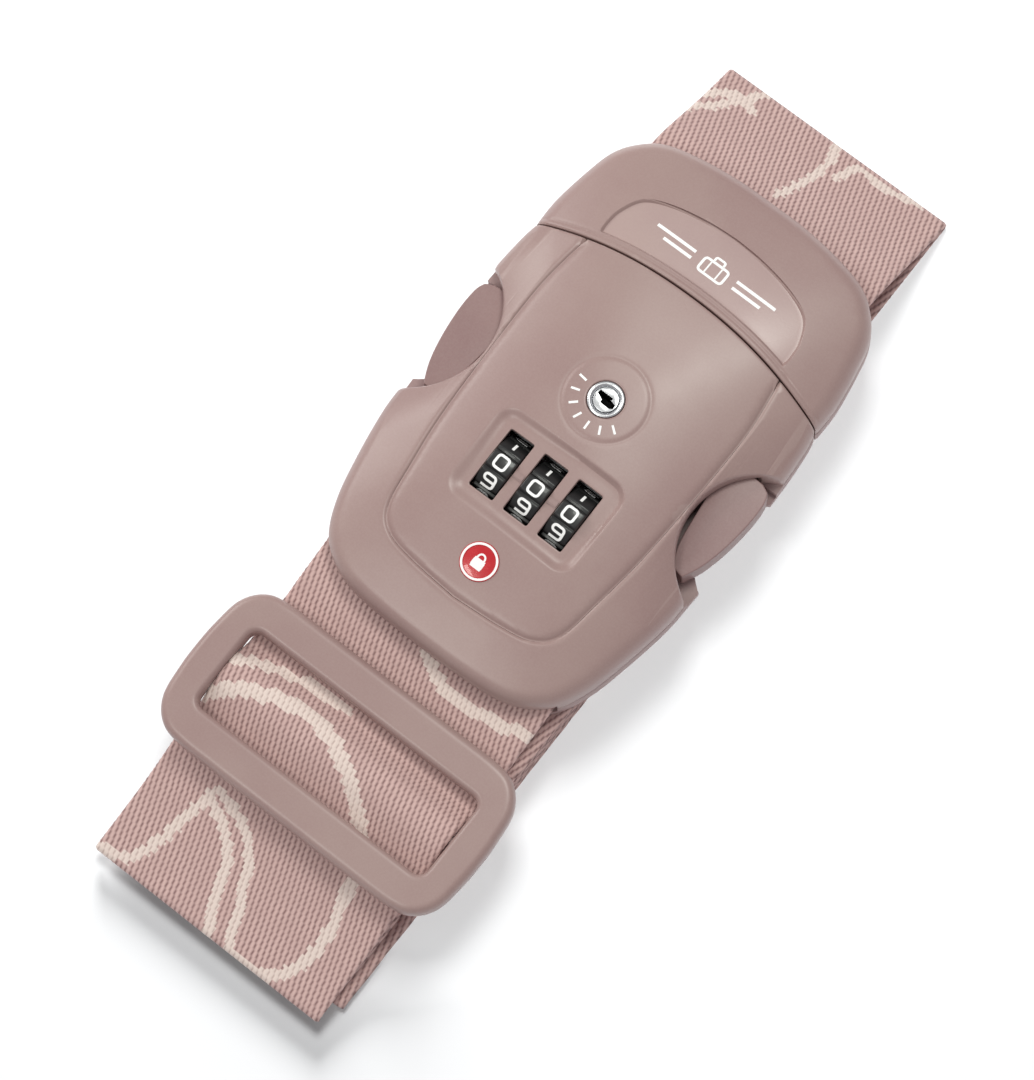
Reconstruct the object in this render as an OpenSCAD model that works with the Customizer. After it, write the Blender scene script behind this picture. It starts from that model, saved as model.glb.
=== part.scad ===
// Luggage strap with a three-dial combination buckle and a tri-glide adjuster.
// X runs across the webbing, Y along it towards the plug half, Z up from the surface it lies on.

/* [Webbing] */
// Width of the webbing
web_w = 50; // [48:0.5:51]
// Thickness of the webbing
web_t = 0.8; // [0.6:0.05:0.9]
// Distance between the middles of two stacked layers
layer_pitch = 0.86; // [0.84:0.01:0.95]
// Number of layers folded under the buckle (odd)
layers = 11; // [7:2:11]
// Length of the folded strap, from fold to fold
fold_length = 186; // [184:1:190]
// Where the hidden inner folds turn, seen from the dials towards the plug
inner_turn_top = 60; // [54:1:62]
// Where the hidden inner folds turn, seen from the dials towards the adjuster
inner_turn_bottom = 66; // [60:1:68]
// How far the second fold stays short of the bottom fold
second_fold_step = 4.6; // [3:0.2:8]
// Sideways slip of the hank layers below the front run
hank_slip = 2.2; // [0:0.1:3]

/* [Buckle] */
// Half width of the lock half at the shoulders
body_half_w = 32.4; // [31:0.1:33]
// Height of the buckle at its crown
buckle_h = 15.5; // [15:0.1:17]
// Crown radius across the buckle
crown_r_x = 74; // [68:1:90]
// Crown radius along the buckle
crown_r_y = 210; // [190:5:260]
// Thickness of the back shells
back_t = 1.6; // [1.2:0.1:1.8]
// Height of the split between back and top shells
split_h = 3.6; // [3.2:0.1:3.8]
// Gap between the lock half and the plug half
seam_gap = 0.3; // [0.2:0.05:0.5]
// Distance from the dials to the middle of the seam
seam_y = 44.8; // [44:0.1:46]
// How much the seam falls back at the sides
seam_fall = 4.9; // [4:0.1:6]
// Distance from the dials to the end of the lock half
lock_end = 33.8; // [33:0.1:36]
// Distance from the dials to the end of the plug half
plug_end = 69.2; // [68:0.1:72]
// Radius of the thumb scallops in the sides
scallop_r = 15.5; // [14:0.5:17]
// Thickness of the inset cover panel
panel_t = 1.5; // [1.2:0.1:1.8]

/* [Dials] */
// Diameter of a number dial
dial_d = 13; // [12:0.1:13.4]
// Width of a number dial
dial_w = 5; // [4.6:0.1:5.2]
// Distance between dials
dial_pitch = 7.65; // [7.4:0.05:8]
// Length of a dial window
window_l = 12.4; // [11.6:0.1:12.6]
// Radius of the dial axle
axle_r = 1.2; // [1:0.1:1.4]

/* [Key lock] */
// Distance from the dials to the key
key_y = 20.2; // [19:0.1:22]
// Outer radius of the key cylinder
cylinder_r = 3.4; // [3.2:0.1:3.6]
// Radius of the turning plug
plug_r = 2.3; // [2:0.1:2.5]
// Radius of the cam pin's circle
cam_pin_at = 1.5; // [1.3:0.1:1.6]

/* [Adjuster] */
// Outer width of the adjuster frame
frame_w = 64.4; // [62:0.1:66]
// Outer length of the adjuster frame along the webbing
frame_l = 31.8; // [30:0.1:33]
// Length of the adjuster's slot along the webbing
frame_slot_l = 17.2; // [16:0.1:18]
// Thickness of the adjuster frame
frame_t = 4; // [3.6:0.1:4.6]
// Distance from the dials to the middle of the adjuster
frame_y = 57.4; // [57:0.1:60]

/* [Fit] */
// Radial running clearance of a shaft in a hole
run = 0.05; // [0.03:0.01:0.08]
// Gap between pieces that only lie beside each other
gap = 0.15; // [0.1:0.01:0.2]

/* [Hidden] */

$fn = 48;
eps = 0.01;
dial_y = 3.4;
stack_h = (layers - 1) * layer_pitch + web_t + 0.1;
zb = stack_h + 0.25;
zt = zb + buckle_h;
shell_mid_y = 17;
axle_z = zt - 0.75 - dial_d / 2;
bar_r = 1.45;
lock_bar_y = -22;
lock_bar_z = zb + 4;
plug_bar_y = 58;
plug_bar_z = zb + 4;
panel_half_w = 22.2;
panel_end = 23.6;
frame_z = zb + 1.6;
center_bar_r = 1;
center_bar_z = frame_z + 1.3;
arm_pin = [22.5, 48];
arm_pin_r = 1.25;
arm_z = zb + back_t + 0.5;
arm_h = 5.6;
bottom_y = -fold_length / 2 - dial_y;
top_y = fold_length / 2 - dial_y;
key_drop = 0.25;
cam_z = zb + 4.1;
slider_z = zb + back_t + 0.15;
slider_t = 1.7;
reset_y = -14;
badge_y = 16.2;
badge_r = 3.7;

mauve = [0.66, 0.56, 0.54];
mauve_dark = [0.58, 0.48, 0.46];
rose = [0.78, 0.65, 0.62];
steel = [0.75, 0.75, 0.77];

// ---- outline helpers -------------------------------------------------------------------

// Point on a Catmull-Rom curve between b and c.
function curve_point(a, b, c, d, t) = 0.5 * ((2 * b) + (c - a) * t
    + (2 * a - 5 * b + 4 * c - d) * t * t + (3 * b - a - 3 * c + d) * t * t * t);

// Smooth open curve through the points p, with n steps for each span.
function smooth(p, n = 5) = [for (i = [0 : len(p) - 2], k = [0 : n - (i == len(p) - 2 ? 0 : 1)])
    curve_point(p[max(i - 1, 0)], p[i], p[i + 1], p[min(i + 2, len(p) - 1)], k / n)];

// Closed outline from its right half, which runs from one point near the middle line to another.
function both_sides(p) = concat(p, [for (i = [len(p) - 1 : -1 : 0]) [-p[i][0], p[i][1]]]);

// Arc of a circle.
function arc(c, r, a0, a1, n = 10) = [for (i = [0 : n])
    c + r * [cos(a0 + (a1 - a0) * i / n), sin(a0 + (a1 - a0) * i / n)]];

// Direction of the path p at point i, as a unit vector.
function heading(p, i) = let (v = p[min(i + 1, len(p) - 1)] - p[max(i - 1, 0)]) v / norm(v);

// Closed outline of a ribbon of thickness t that follows the path p.
function ribbon(p, t) = let (side = [for (i = [0 : len(p) - 1])
        let (h = heading(p, i)) [-h[1], h[0]] * t / 2])
    concat([for (i = [0 : len(p) - 1]) p[i] + side[i]],
        [for (i = [len(p) - 1 : -1 : 0]) p[i] - side[i]]);

// The dials are the reference point of the buckle.
module from_dials() {
    translate([0, dial_y, 0]) children();
}

// A strip of webbing whose path is given in Y and Z.
module webbing(path, slip = 0) {
    from_dials() translate([slip - web_w / 2, 0, 0]) rotate([90, 0, 90])
        linear_extrude(web_w) polygon(ribbon(path, web_t));
}

// Solid under the crowned top of the buckle, lowered by drop.
module crown(drop = 0) {
    translate([0, shell_mid_y, -drop]) intersection() {
        translate([0, 0, zt - crown_r_x]) rotate([90, 0, 0])
            cylinder(r = crown_r_x, h = 140, center = true, $fn = 200);
        translate([0, 0, zt - crown_r_y]) rotate([0, 90, 0])
            cylinder(r = crown_r_y, h = 90, center = true, $fn = 400);
    }
}

// Upright prism over an outline.
module prism(outline, z0, z1) {
    translate([0, 0, z0]) linear_extrude(z1 - z0) polygon(outline);
}

// Shaft along X.
module x_shaft(r, length) {
    rotate([0, 90, 0]) cylinder(r = r, h = length, center = true);
}

module both_x() {
    children();
    mirror([1, 0, 0]) children();
}

// ---- outlines of the buckle --------------------------------------------------------------

// Height of the seam curve at x, measured from the dials.
function seam_at(x) = seam_y - seam_fall * x * x / 992;
seam_half_w = 31.6;
function seam_curve(shift) = [for (i = [8 : -1 : 1]) let (x = seam_half_w * i / 8)
    [x, seam_at(x) + shift]];

lock_half = concat(smooth([[0.4, -lock_end], [12, -lock_end + 0.3], [19.5, -lock_end + 1.7],
        [25, -28.4], [28.4, -22], [30.6, -13], [body_half_w - 0.3, -4], [body_half_w, 2]]),
    smooth([[body_half_w + 0.5, 14], [body_half_w + 0.4, 28], [body_half_w - 0.1, 36],
        [seam_half_w + 0.2, seam_at(seam_half_w) - 0.6]]), seam_curve(0));
plug_half = concat([for (i = [1 : 8]) let (x = seam_half_w * i / 8) [x, seam_at(x) + seam_gap]],
    smooth([[seam_half_w + 0.2, seam_at(seam_half_w) + seam_gap + 0.6], [31.8, 46], [30.8, 53],
        [29.4, 59], [26.8, 63], [22.4, 66.4], [15, plug_end - 1], [7, plug_end - 0.1], [0.4, plug_end]]));
lock_outline = both_sides(lock_half);
plug_outline = both_sides(plug_half);

function panel_half(d) = concat(smooth([[0.4, -panel_end - d], [10, -panel_end + 0.8 - d],
        [16, -21.4 - d], [19.4 + d, -17.6], [20.9 + d, -9], [panel_half_w + d, 2],
        [panel_half_w + 0.7 + d, 18], [panel_half_w + 0.8 + d, 31], [panel_half_w - 0.3 + d, 40.6]]),
    [for (i = [6 : -1 : 1]) let (x = 21 * i / 6) [x, seam_at(x) + (d > 0 ? 1 : 0)]]);

name_recess_half = concat([for (i = [1 : 6]) let (x = 19.6 * i / 6) [x, seam_at(x) + 2.4]],
    smooth([[20.3, seam_at(20) + 2.9], [20.2, 50], [18.2, 54.6], [13, 57], [6, 58.4], [0.4, 58.8]]));

// Rounded rectangle.
function pad(hw, hl, r) = concat(arc([hw - r, hl - r], r, 0, 90, 5), arc([r - hw, hl - r], r, 90, 180, 5),
    arc([r - hw, r - hl], r, 180, 270, 5), arc([hw - r, r - hl], r, 270, 360, 5));

// ---- webbing ------------------------------------------------------------------------------

function layer_z(k) = web_t / 2 + (k > 1 ? 0.1 : 0) + (k - 1) * layer_pitch;
turn_r = layer_pitch / 2;
turn_cap = turn_r + web_t / 2;
wrap_r = bar_r + web_t / 2 + 0.05;
fold_z = layer_z(3) + 0.05;
second_fold_y = bottom_y + second_fold_step;
loop_end_y = 12;

// Where layer k ends towards the adjuster and towards the plug half.
function layer_low(k) = k <= 2 ? second_fold_y + turn_cap : -inner_turn_bottom;
function layer_high(k) = k == 1 ? loop_end_y - 0.5 : inner_turn_top;

// Last layer of the hank, which dips from the stack to the bottom fold.
dip_path = [[inner_turn_top, layer_z(layers)], [-inner_turn_bottom + 2, layer_z(layers)],
    [-inner_turn_bottom - 4, layer_z(layers) - 0.8], [bottom_y + 17, 4.4], [bottom_y + 9, 2.9],
    [bottom_y + turn_cap + 0.08, fold_z]];

// Bottom fold, up through the adjuster over its middle bar, and into the lock half.
front_path = concat([[bottom_y + turn_cap, fold_z - 0.02], [bottom_y + web_t / 2 + 0.05, fold_z + 0.05],
    [bottom_y + web_t / 2, fold_z + turn_r], [bottom_y + web_t / 2 + 0.05, fold_z + 2 * turn_r],
    [bottom_y + turn_cap + 0.3, fold_z + 2 * turn_r + 0.1],
    [bottom_y + 9, 4.3], [bottom_y + 17, 6.1], [-frame_y - 12, zb + 0.3], [-frame_y - 8, zb + 1.1],
    [-frame_y - 4.6, center_bar_z], [-frame_y - 2.4, center_bar_z + 1.05],
    [-frame_y, center_bar_z + center_bar_r + 0.45], [-frame_y + 2.4, center_bar_z + 1.05],
    [-frame_y + 4.6, center_bar_z - 0.5], [-frame_y + 7.4, zb + 1.15], [-frame_y + 16.2, zb + 1.1],
    [-37, zb + 2.3], [-33.5, zb + 3.1], [-28, zb + 4.4], [lock_bar_y - 2.4, lock_bar_z + 1.6]],
    arc([lock_bar_y, lock_bar_z + 0.15], wrap_r, 90, 0, 6),
    [[lock_bar_y + wrap_r, lock_bar_z + 0.03]]);

// From the lock half's bar back to the middle bar of the adjuster.
return_path = concat([[lock_bar_y + wrap_r, lock_bar_z - 0.03]],
    arc([lock_bar_y, lock_bar_z - 0.02], wrap_r, -4, -90, 6),
    [[-34.2, zb + 2.02], [-38, zb + 0.95], [-frame_y + 16.6, zb + 0.2], [-frame_y + 5, zb + 0.2],
    [-frame_y + 2, zb + 0.6], [-frame_y, center_bar_z - center_bar_r - 0.45]]);

// From the plug half's bar, down to the top fold, and back along the floor.
loop_path = concat([[plug_bar_y + 3, plug_bar_z - wrap_r]],
    arc([plug_bar_y, plug_bar_z], wrap_r, 270, 90, 10),
    [[plug_bar_y + 4, plug_bar_z + 1.3], [plug_bar_y + 8, plug_bar_z + 0.2], [plug_end, zb + 3],
    [top_y - 16, zb + 0.4], [top_y - 12, 7.5], [top_y - 8, 5.1], [top_y - 4, 3.1],
    [top_y - 1.6, 2], [top_y - web_t / 2 - 0.1, 1.35], [top_y - web_t / 2 - 0.1, 0.75],
    [top_y - 1.3, layer_z(1)], [loop_end_y, layer_z(1)]]);

// Fold between layers k and k + 1, as a solid half round; side is 1 at the plug end.
module fold_cap(k, side) {
    y = side > 0 ? layer_high(k) : layer_low(k);
    translate([y, (layer_z(k) + layer_z(k + 1)) / 2]) intersection() {
        circle(r = (layer_z(k + 1) - layer_z(k) + web_t) / 2, $fn = 24);
        translate([side > 0 ? -eps : -3, -3]) square([3 + eps, 6]);
    }
}

module webbing_hank() {
    color(rose) from_dials() translate([hank_slip - web_w / 2, 0, 0]) rotate([90, 0, 90])
        linear_extrude(web_w) {
            for (k = [1 : layers - 1]) {
                translate([layer_low(k), layer_z(k) - web_t / 2])
                    square([layer_high(k) - layer_low(k), web_t]);
                fold_cap(k, k % 2 == 0 ? 1 : -1);
            }
            polygon(ribbon(dip_path, web_t));
        }
}

module webbing_front_run() {
    color(rose) webbing(front_path);
}

module webbing_return_run() {
    color(rose) webbing(return_path);
}

module webbing_top_loop() {
    color(rose) webbing(loop_path);
}

// ---- lock half ------------------------------------------------------------------------------

// Space that each release arm swings in, open to the scallop at the side.
module arm_bay() {
    both_x() prism([[17.2, 1.6], [body_half_w + 4, 1.6], [body_half_w + 4, 27.2], [28.6, 27.2],
        [28.6, 48], [17.2, 48]], arm_z - 0.3, arm_z + arm_h + 0.3);
}

// Chambers of the lock half: dials, key lock, plug tongue and webbing.
module lock_chambers() {
    translate([-14.4, -7, zb + back_t]) cube([28.8, 14, buckle_h]);
    translate([-13, 8.4, zb + back_t]) cube([26, 37, 6.2]);
    translate([-web_w / 2 - 0.8, -lock_end - 1, zb + back_t]) cube([web_w + 1.6, 9, 4]);
    translate([-web_w / 2 - 0.8, lock_bar_y - 4, zb + back_t]) cube([web_w + 1.6, 7.2, 5]);
    arm_bay();
}

module lock_top_shell() {
    color(mauve) from_dials() difference() {
        intersection() {
            prism(lock_outline, zb + split_h, zt + 1);
            crown();
        }
        difference() {
            prism(both_sides(panel_half(gap)), zb + 7, zt + 1);
            crown(panel_t + 0.05);
        }
        both_x() translate([39, 15, zb + split_h - eps]) cylinder(r = scallop_r, h = buckle_h);
        lock_chambers();
        translate([0, key_y, zb]) cylinder(r = cylinder_r + run, h = buckle_h);
        translate([0, 0, axle_z]) x_shaft(axle_r + 0.02, 34.2);
        screw_places() cylinder(r = 1.05, h = zb + 6.5);
    }
}

module lock_cover_panel() {
    color(mauve) from_dials() difference() {
        intersection() {
            prism(both_sides(panel_half(0)), zb + 7, zt + 1);
            crown();
        }
        crown(panel_t);
        for (i = [-1 : 1]) translate([i * dial_pitch - dial_w / 2 - 0.15, -window_l / 2, zb])
            cube([dial_w + 0.3, window_l, buckle_h + 2]);
        difference() {
            prism(pad(14, 9.6, 3.4), zb + 7, zt + 1);
            crown(0.6);
        }
        translate([0, key_y, zb]) cylinder(r = cylinder_r + run, h = buckle_h + 2);
        difference() {
            translate([0, -badge_y, zb]) cylinder(r = badge_r + 0.05, h = buckle_h + 2);
            crown(0.4);
        }
    }
}

module lock_back_shell() {
    color(mauve_dark) from_dials() difference() {
        prism(lock_outline, zb, zb + split_h - 0.02);
        lock_chambers();
        both_x() translate([39, 15, zb - 1]) cylinder(r = scallop_r - 3.4, h = buckle_h);
        translate([0, reset_y, zb - 1]) cylinder(r = 2 + run, h = 5);
        translate([0, reset_y, zb + back_t]) cylinder(r = 3.2, h = 5);
        screw_places() translate([0, 0, zb - 1]) cylinder(r = 1.05, h = 8);
        screw_places() translate([0, 0, zb - 1]) cylinder(r = 2.1, h = 1.9);
    }
}

module screw_places() {
    both_x() {
        translate([27, -12, 0]) children();
        translate([15, 34, 0]) children();
    }
}

// One countersunk screw, head down.
module screw() {
    translate([0, 0, zb + 0.1]) difference() {
        union() {
            cylinder(r = 2, h = 0.78);
            cylinder(r = 1, h = 6.2);
        }
        translate([-1.2, -0.25, -eps]) cube([2.4, 0.5, 0.4]);
        translate([-0.25, -1.2, -eps]) cube([0.5, 2.4, 0.4]);
    }
}

module lock_screws() {
    color(steel) from_dials() screw_places() screw();
}

module lock_strap_bar() {
    color(steel) from_dials() translate([0, lock_bar_y, lock_bar_z]) x_shaft(bar_r, web_w + 1.4);
}

module badge() {
    color("firebrick") from_dials() difference() {
        intersection() {
            translate([0, -badge_y, zb]) cylinder(r = badge_r, h = buckle_h + 2);
            crown(-0.2);
        }
        crown(0.38);
    }
}

// ---- dials ------------------------------------------------------------------------------------

// Number dial with ten grip notches beside its ten number flats.
module dial(i) {
    color([0.06, 0.06, 0.06]) from_dials() translate([i * dial_pitch, 0, axle_z]) difference() {
        x_shaft(dial_d / 2, dial_w);
        x_shaft(3.4, dial_w + 1);
        for (k = [0 : 9]) rotate([k * 36 + 18, 0, 0])
            translate([0, 0, dial_d / 2 + 0.15]) x_shaft(0.5, dial_w + 1);
    }
}

// Clutch hub inside a dial, which turns on the axle.
module dial_hub(i) {
    color("white") from_dials() translate([i * dial_pitch, 0, axle_z]) difference() {
        union() {
            x_shaft(3.4, dial_w - 0.6);
            x_shaft(2.2, dial_w + 1.6);
        }
        x_shaft(axle_r + run, dial_w + 3);
    }
}

module dial_left() {
    dial(-1);
}

module dial_middle() {
    dial(0);
}

module dial_right() {
    dial(1);
}

module dial_hub_left() {
    dial_hub(-1);
}

module dial_hub_middle() {
    dial_hub(0);
}

module dial_hub_right() {
    dial_hub(1);
}

module dial_axle() {
    color(steel) from_dials() translate([0, 0, axle_z]) x_shaft(axle_r, 34);
}

// Leaf spring that stands behind the dials, with one finger for each dial.
module detent_spring() {
    color(steel) from_dials() difference() {
        translate([-13, dial_d / 2 + 0.12, zb + back_t + 0.05]) cube([26, 0.3, axle_z - zb]);
        for (i = [-0.5, 0.5]) translate([i * dial_pitch - 0.6, dial_d / 2, zb + back_t + 3])
            cube([1.2, 1, axle_z]);
    }
}

// ---- key lock ---------------------------------------------------------------------------------

key_top = zt - key_drop + 0.3;

module key_cylinder() {
    color(steel) from_dials() translate([0, key_y, 0]) difference() {
        translate([0, 0, cam_z + 1.2]) cylinder(r = cylinder_r, h = key_top - cam_z - 1.2);
        translate([0, 0, zb]) cylinder(r = plug_r + run, h = buckle_h + 2);
    }
}

// Turning plug with its stepped keyway.
module key_plug() {
    color(steel) from_dials() translate([0, key_y, 0]) difference() {
        translate([0, 0, cam_z + 1.1]) cylinder(r = plug_r, h = key_top - 0.3 - cam_z - 1.1);
        translate([0, 0, key_top - 5]) linear_extrude(6)
            polygon([[-2, 0.25], [-1.8, 0.95], [0.9, 0.95], [0.9, 0.4], [1.95, 0.1], [2, -0.6],
                [1.5, -0.95], [-0.55, -0.95], [-0.55, -0.35]]);
    }
}

// Cam under the plug, with the pin that moves the slider.
module key_cam() {
    color(steel) from_dials() translate([0, key_y, 0]) {
        translate([0, 0, cam_z]) cylinder(r = 2.9, h = 1.1);
        rotate([0, 0, 45]) translate([cam_pin_at, 0, slider_z + 0.2])
            cylinder(r = 0.5, h = cam_z - slider_z);
    }
}

// Plate that the cam draws back; its nose stands behind the plug tongue.
module locking_slider() {
    color(steel) from_dials() difference() {
        union() {
            translate([-7, key_y - 5, slider_z]) cube([14, 10.4, slider_t]);
            translate([-3, key_y + 5, slider_z]) cube([6, 5.4, slider_t]);
        }
        translate([0, key_y + cam_pin_at * sin(45) - 0.62, slider_z - 1]) cube([2.4, 1.24, 4]);
    }
}

// Coil spring, as the row of its turns, between the chamber wall and the slider.
module slider_spring() {
    color(steel) from_dials() translate([-4.5, 8.9, slider_z + 0.85]) rotate([-90, 0, 0])
        for (i = [0 : 4]) translate([0, 0, i * 1.3])
            rotate_extrude($fn = 24) translate([0.6, 0]) circle(r = 0.16, $fn = 16);
}

module reset_button() {
    color(mauve_dark) from_dials() translate([0, reset_y, zb + 0.3]) {
        cylinder(r = 2, h = 1.9);
        translate([0, 0, back_t - 0.25]) cylinder(r = 2.8, h = 0.6);
    }
}

module reset_spring() {
    color(steel) from_dials() translate([0, reset_y, zb + back_t + 0.95])
        for (i = [0 : 1]) translate([0, 0, i * 0.5])
            rotate_extrude($fn = 24) translate([1.6, 0]) circle(r = 0.14, $fn = 16);
}

// ---- plug half ----------------------------------------------------------------------------------

// Way for the webbing round the bar and out of the end.
module plug_webbing_slot() {
    translate([-web_w / 2 - 0.8, plug_bar_y - 3.2, zb + back_t]) cube([web_w + 1.6, 9.7, 5]);
    translate([-web_w / 2 - 0.8, plug_bar_y, zb + back_t]) cube([web_w + 1.6, 20, 3.6]);
}

module plug_cover() {
    color(mauve) from_dials() difference() {
        intersection() {
            prism(plug_outline, zb + split_h, zt + 1);
            crown();
        }
        difference() {
            prism(both_sides(name_recess_half), zb + 7, zt + 1);
            crown(0.6);
        }
        plug_webbing_slot();
        plug_screw_places() cylinder(r = 1.05, h = zb + 6.5);
        both_x() prism([[17.2, 30], [28.6, 30], [28.6, 52.2], [17.2, 52.2]], zb, arm_z + arm_h + 0.3);
    }
}

// Back plate of the plug half, with the tongue that slides into the lock half.
module plug_base() {
    color(mauve_dark) from_dials() difference() {
        union() {
            prism(plug_outline, zb, zb + split_h - 0.02);
            translate([-10, 32.6, zb + back_t + 0.3]) cube([20, 16, split_h - back_t - 0.32]);
        }
        plug_webbing_slot();
        both_x() prism([[17.2, 30], [28.6, 30], [28.6, 52.2], [17.2, 52.2]], arm_z - 0.3, zb + 8);
        both_x() translate([arm_pin[0], arm_pin[1], zb - 1]) cylinder(r = arm_pin_r, h = 8);
        plug_screw_places() translate([0, 0, zb - 1]) cylinder(r = 1.05, h = 8);
        plug_screw_places() translate([0, 0, zb - 1]) cylinder(r = 2.1, h = 1.9);
    }
}

module plug_screw_places() {
    both_x() translate([12, 51, 0]) children();
}

module plug_screws() {
    color(steel) from_dials() plug_screw_places() screw();
}

module plug_strap_bar() {
    color(steel) from_dials() translate([0, plug_bar_y, plug_bar_z]) x_shaft(bar_r, web_w + 1.4);
}

module arm_pins() {
    color(steel) from_dials() both_x() translate([arm_pin[0], arm_pin[1], zb + 0.2])
        cylinder(r = arm_pin_r, h = arm_z + arm_h - zb);
}

arm_half = concat(smooth([[29.2, 4.2], [30.9, 8], [32.1, 13], [32.8, 19], [32.7, 23.6], [32, 25.6]]),
    [[30.4, 26.4], [27, 26.6], [26.2, 30]], arc(arm_pin, 2.9, -30, 200, 12),
    smooth([[20.8, 40], [22.4, 30], [23.6, 20], [25, 9], [27, 4.6]]));

// Release arm with its thumb tab.
module release_arm() {
    from_dials() difference() {
        prism(arm_half, arm_z, arm_z + arm_h);
        translate([arm_pin[0], arm_pin[1], zb]) cylinder(r = arm_pin_r + run, h = 12);
    }
}

module left_release_arm() {
    color(mauve) mirror([1, 0, 0]) release_arm();
}

module right_release_arm() {
    color(mauve) release_arm();
}

// Leaf springs that hold the release arms out.
module arm_springs() {
    color(steel) from_dials() both_x() translate([17.3, 45.5, arm_z + 1]) cube([0.4, 6.5, 3]);
}

// ---- adjuster -----------------------------------------------------------------------------------

// Outline of the adjuster frame, with slightly bowed ends.
function frame_outline() = both_sides(smooth([[0.4, -frame_l / 2], [24, -frame_l / 2],
    [frame_w / 2 - 4.4, -frame_l / 2 + 1.1], [frame_w / 2 - 1, -frame_l / 2 + 5],
    [frame_w / 2 - 0.1, -5], [frame_w / 2, 0], [frame_w / 2 - 0.1, 5],
    [frame_w / 2 - 1, frame_l / 2 - 5], [frame_w / 2 - 4.4, frame_l / 2 - 1.1],
    [24, frame_l / 2], [0.4, frame_l / 2]], 4));

module adjuster_frame() {
    color(mauve) from_dials() translate([0, -frame_y, 0]) difference() {
        prism(frame_outline(), frame_z, frame_z + frame_t);
        prism(pad(web_w / 2 + 0.7, frame_slot_l / 2, 2.2), frame_z - 1, frame_z + frame_t + 1);
        translate([0, 0, center_bar_z]) x_shaft(center_bar_r, frame_w - 6);
    }
}

// Middle bar that the webbing runs over.
module adjuster_bar() {
    color(mauve_dark) from_dials() translate([0, -frame_y, center_bar_z])
        x_shaft(center_bar_r, frame_w - 6);
}

webbing_hank();
webbing_front_run();
webbing_return_run();
webbing_top_loop();
lock_top_shell();
lock_cover_panel();
lock_back_shell();
lock_strap_bar();
lock_screws();
badge();
dial_left();
dial_middle();
dial_right();
dial_hub_left();
dial_hub_middle();
dial_hub_right();
dial_axle();
detent_spring();
key_cylinder();
key_plug();
key_cam();
locking_slider();
slider_spring();
reset_button();
reset_spring();
plug_cover();
plug_base();
plug_strap_bar();
plug_screws();
arm_pins();
left_release_arm();
right_release_arm();
arm_springs();
adjuster_frame();
adjuster_bar();
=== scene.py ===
import math

import bmesh
import bpy
import numpy as np
from mathutils import Matrix, Vector
from mathutils.geometry import delaunay_2d_cdt


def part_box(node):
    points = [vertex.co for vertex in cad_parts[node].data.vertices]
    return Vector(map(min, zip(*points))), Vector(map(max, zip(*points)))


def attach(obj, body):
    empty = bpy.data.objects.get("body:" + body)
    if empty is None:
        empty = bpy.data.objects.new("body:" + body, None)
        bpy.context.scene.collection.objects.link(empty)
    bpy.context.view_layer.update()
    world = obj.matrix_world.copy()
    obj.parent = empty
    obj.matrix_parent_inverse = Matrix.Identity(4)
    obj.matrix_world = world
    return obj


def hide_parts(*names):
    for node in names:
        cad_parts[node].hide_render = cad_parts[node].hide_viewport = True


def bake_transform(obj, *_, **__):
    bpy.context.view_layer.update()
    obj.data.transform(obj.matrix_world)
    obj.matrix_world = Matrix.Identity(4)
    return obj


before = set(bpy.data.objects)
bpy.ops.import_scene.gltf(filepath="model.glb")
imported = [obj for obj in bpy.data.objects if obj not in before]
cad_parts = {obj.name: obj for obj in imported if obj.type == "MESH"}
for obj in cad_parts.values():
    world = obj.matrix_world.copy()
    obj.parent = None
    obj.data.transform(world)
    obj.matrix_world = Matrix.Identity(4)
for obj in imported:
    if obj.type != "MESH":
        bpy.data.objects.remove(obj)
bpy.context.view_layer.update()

# ---- places taken from the frame, in millimetres ----

MM = 0.001


def low(node):
    return np.array(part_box(node)[0]) / MM


def high(node):
    return np.array(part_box(node)[1]) / MM


def middle(node):
    return (low(node) + high(node)) / 2


def half(node):
    return (high(node) - low(node)) / 2


# Places along the strap are measured from the dials' axle.
AXLE_Y, AXLE_Z = middle("dial_middle")[1:]
DIAL_R = half("dial_middle")[2]
DIAL_W = 2 * half("dial_middle")[0]
DIAL_PITCH = (low("dial_right")[0] - low("dial_left")[0]) / 2
BACK_Z = low("lock_back_shell")[2]
COVER_Z = high("lock_cover_panel")[2]
BOTTOM_Y = low("webbing_front_run")[1] - AXLE_Y
TOP_Y = high("webbing_top_loop")[1] - AXLE_Y
FRAME_Y = middle("adjuster_frame")[1] - AXLE_Y
FRAME_HALF_W, FRAME_HALF_L = half("adjuster_frame")[:2]
FRAME_LOW_Z, FRAME_HIGH_Z = low("adjuster_frame")[2], high("adjuster_frame")[2]
FRAME_BAR_Z = middle("adjuster_bar")[2]
LOCK_BAR_Y = middle("lock_strap_bar")[1] - AXLE_Y
LOCK_BAR_Z = middle("lock_strap_bar")[2]
PLUG_BAR_Y = middle("plug_strap_bar")[1] - AXLE_Y
PLUG_BAR_Z = middle("plug_strap_bar")[2]
KEY_Y = middle("key_cylinder")[1] - AXLE_Y
KEY_R = half("key_cylinder")[0]
KEY_TOP = high("key_cylinder")[2]
BADGE_Y = middle("badge")[1] - AXLE_Y
BADGE_R = half("badge")[0]

# Sizes that no box of the frame gives.
WEB_W = 50.0
WEB_T = 0.8
LAYER_PITCH = 0.86
LAYERS = 11
CROWN_R_X = 74.0
CROWN_R_Y = 210.0
CROWN_Y = 17.0
# The seam between the halves: its place on the middle line, how far it falls over the square of the
# distance from that line, its width, and where it ends.
SEAM_Y = 44.8
SEAM_BOW = 4.9 / 992
SEAM_GAP = 0.3
SEAM_END_X = 31.55
# Height of the line between the top and back shells, from BACK_Z.
SPLIT_H = 3.6
SHELL_FLOOR_Z = BACK_Z + SPLIT_H + 0.05
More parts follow.
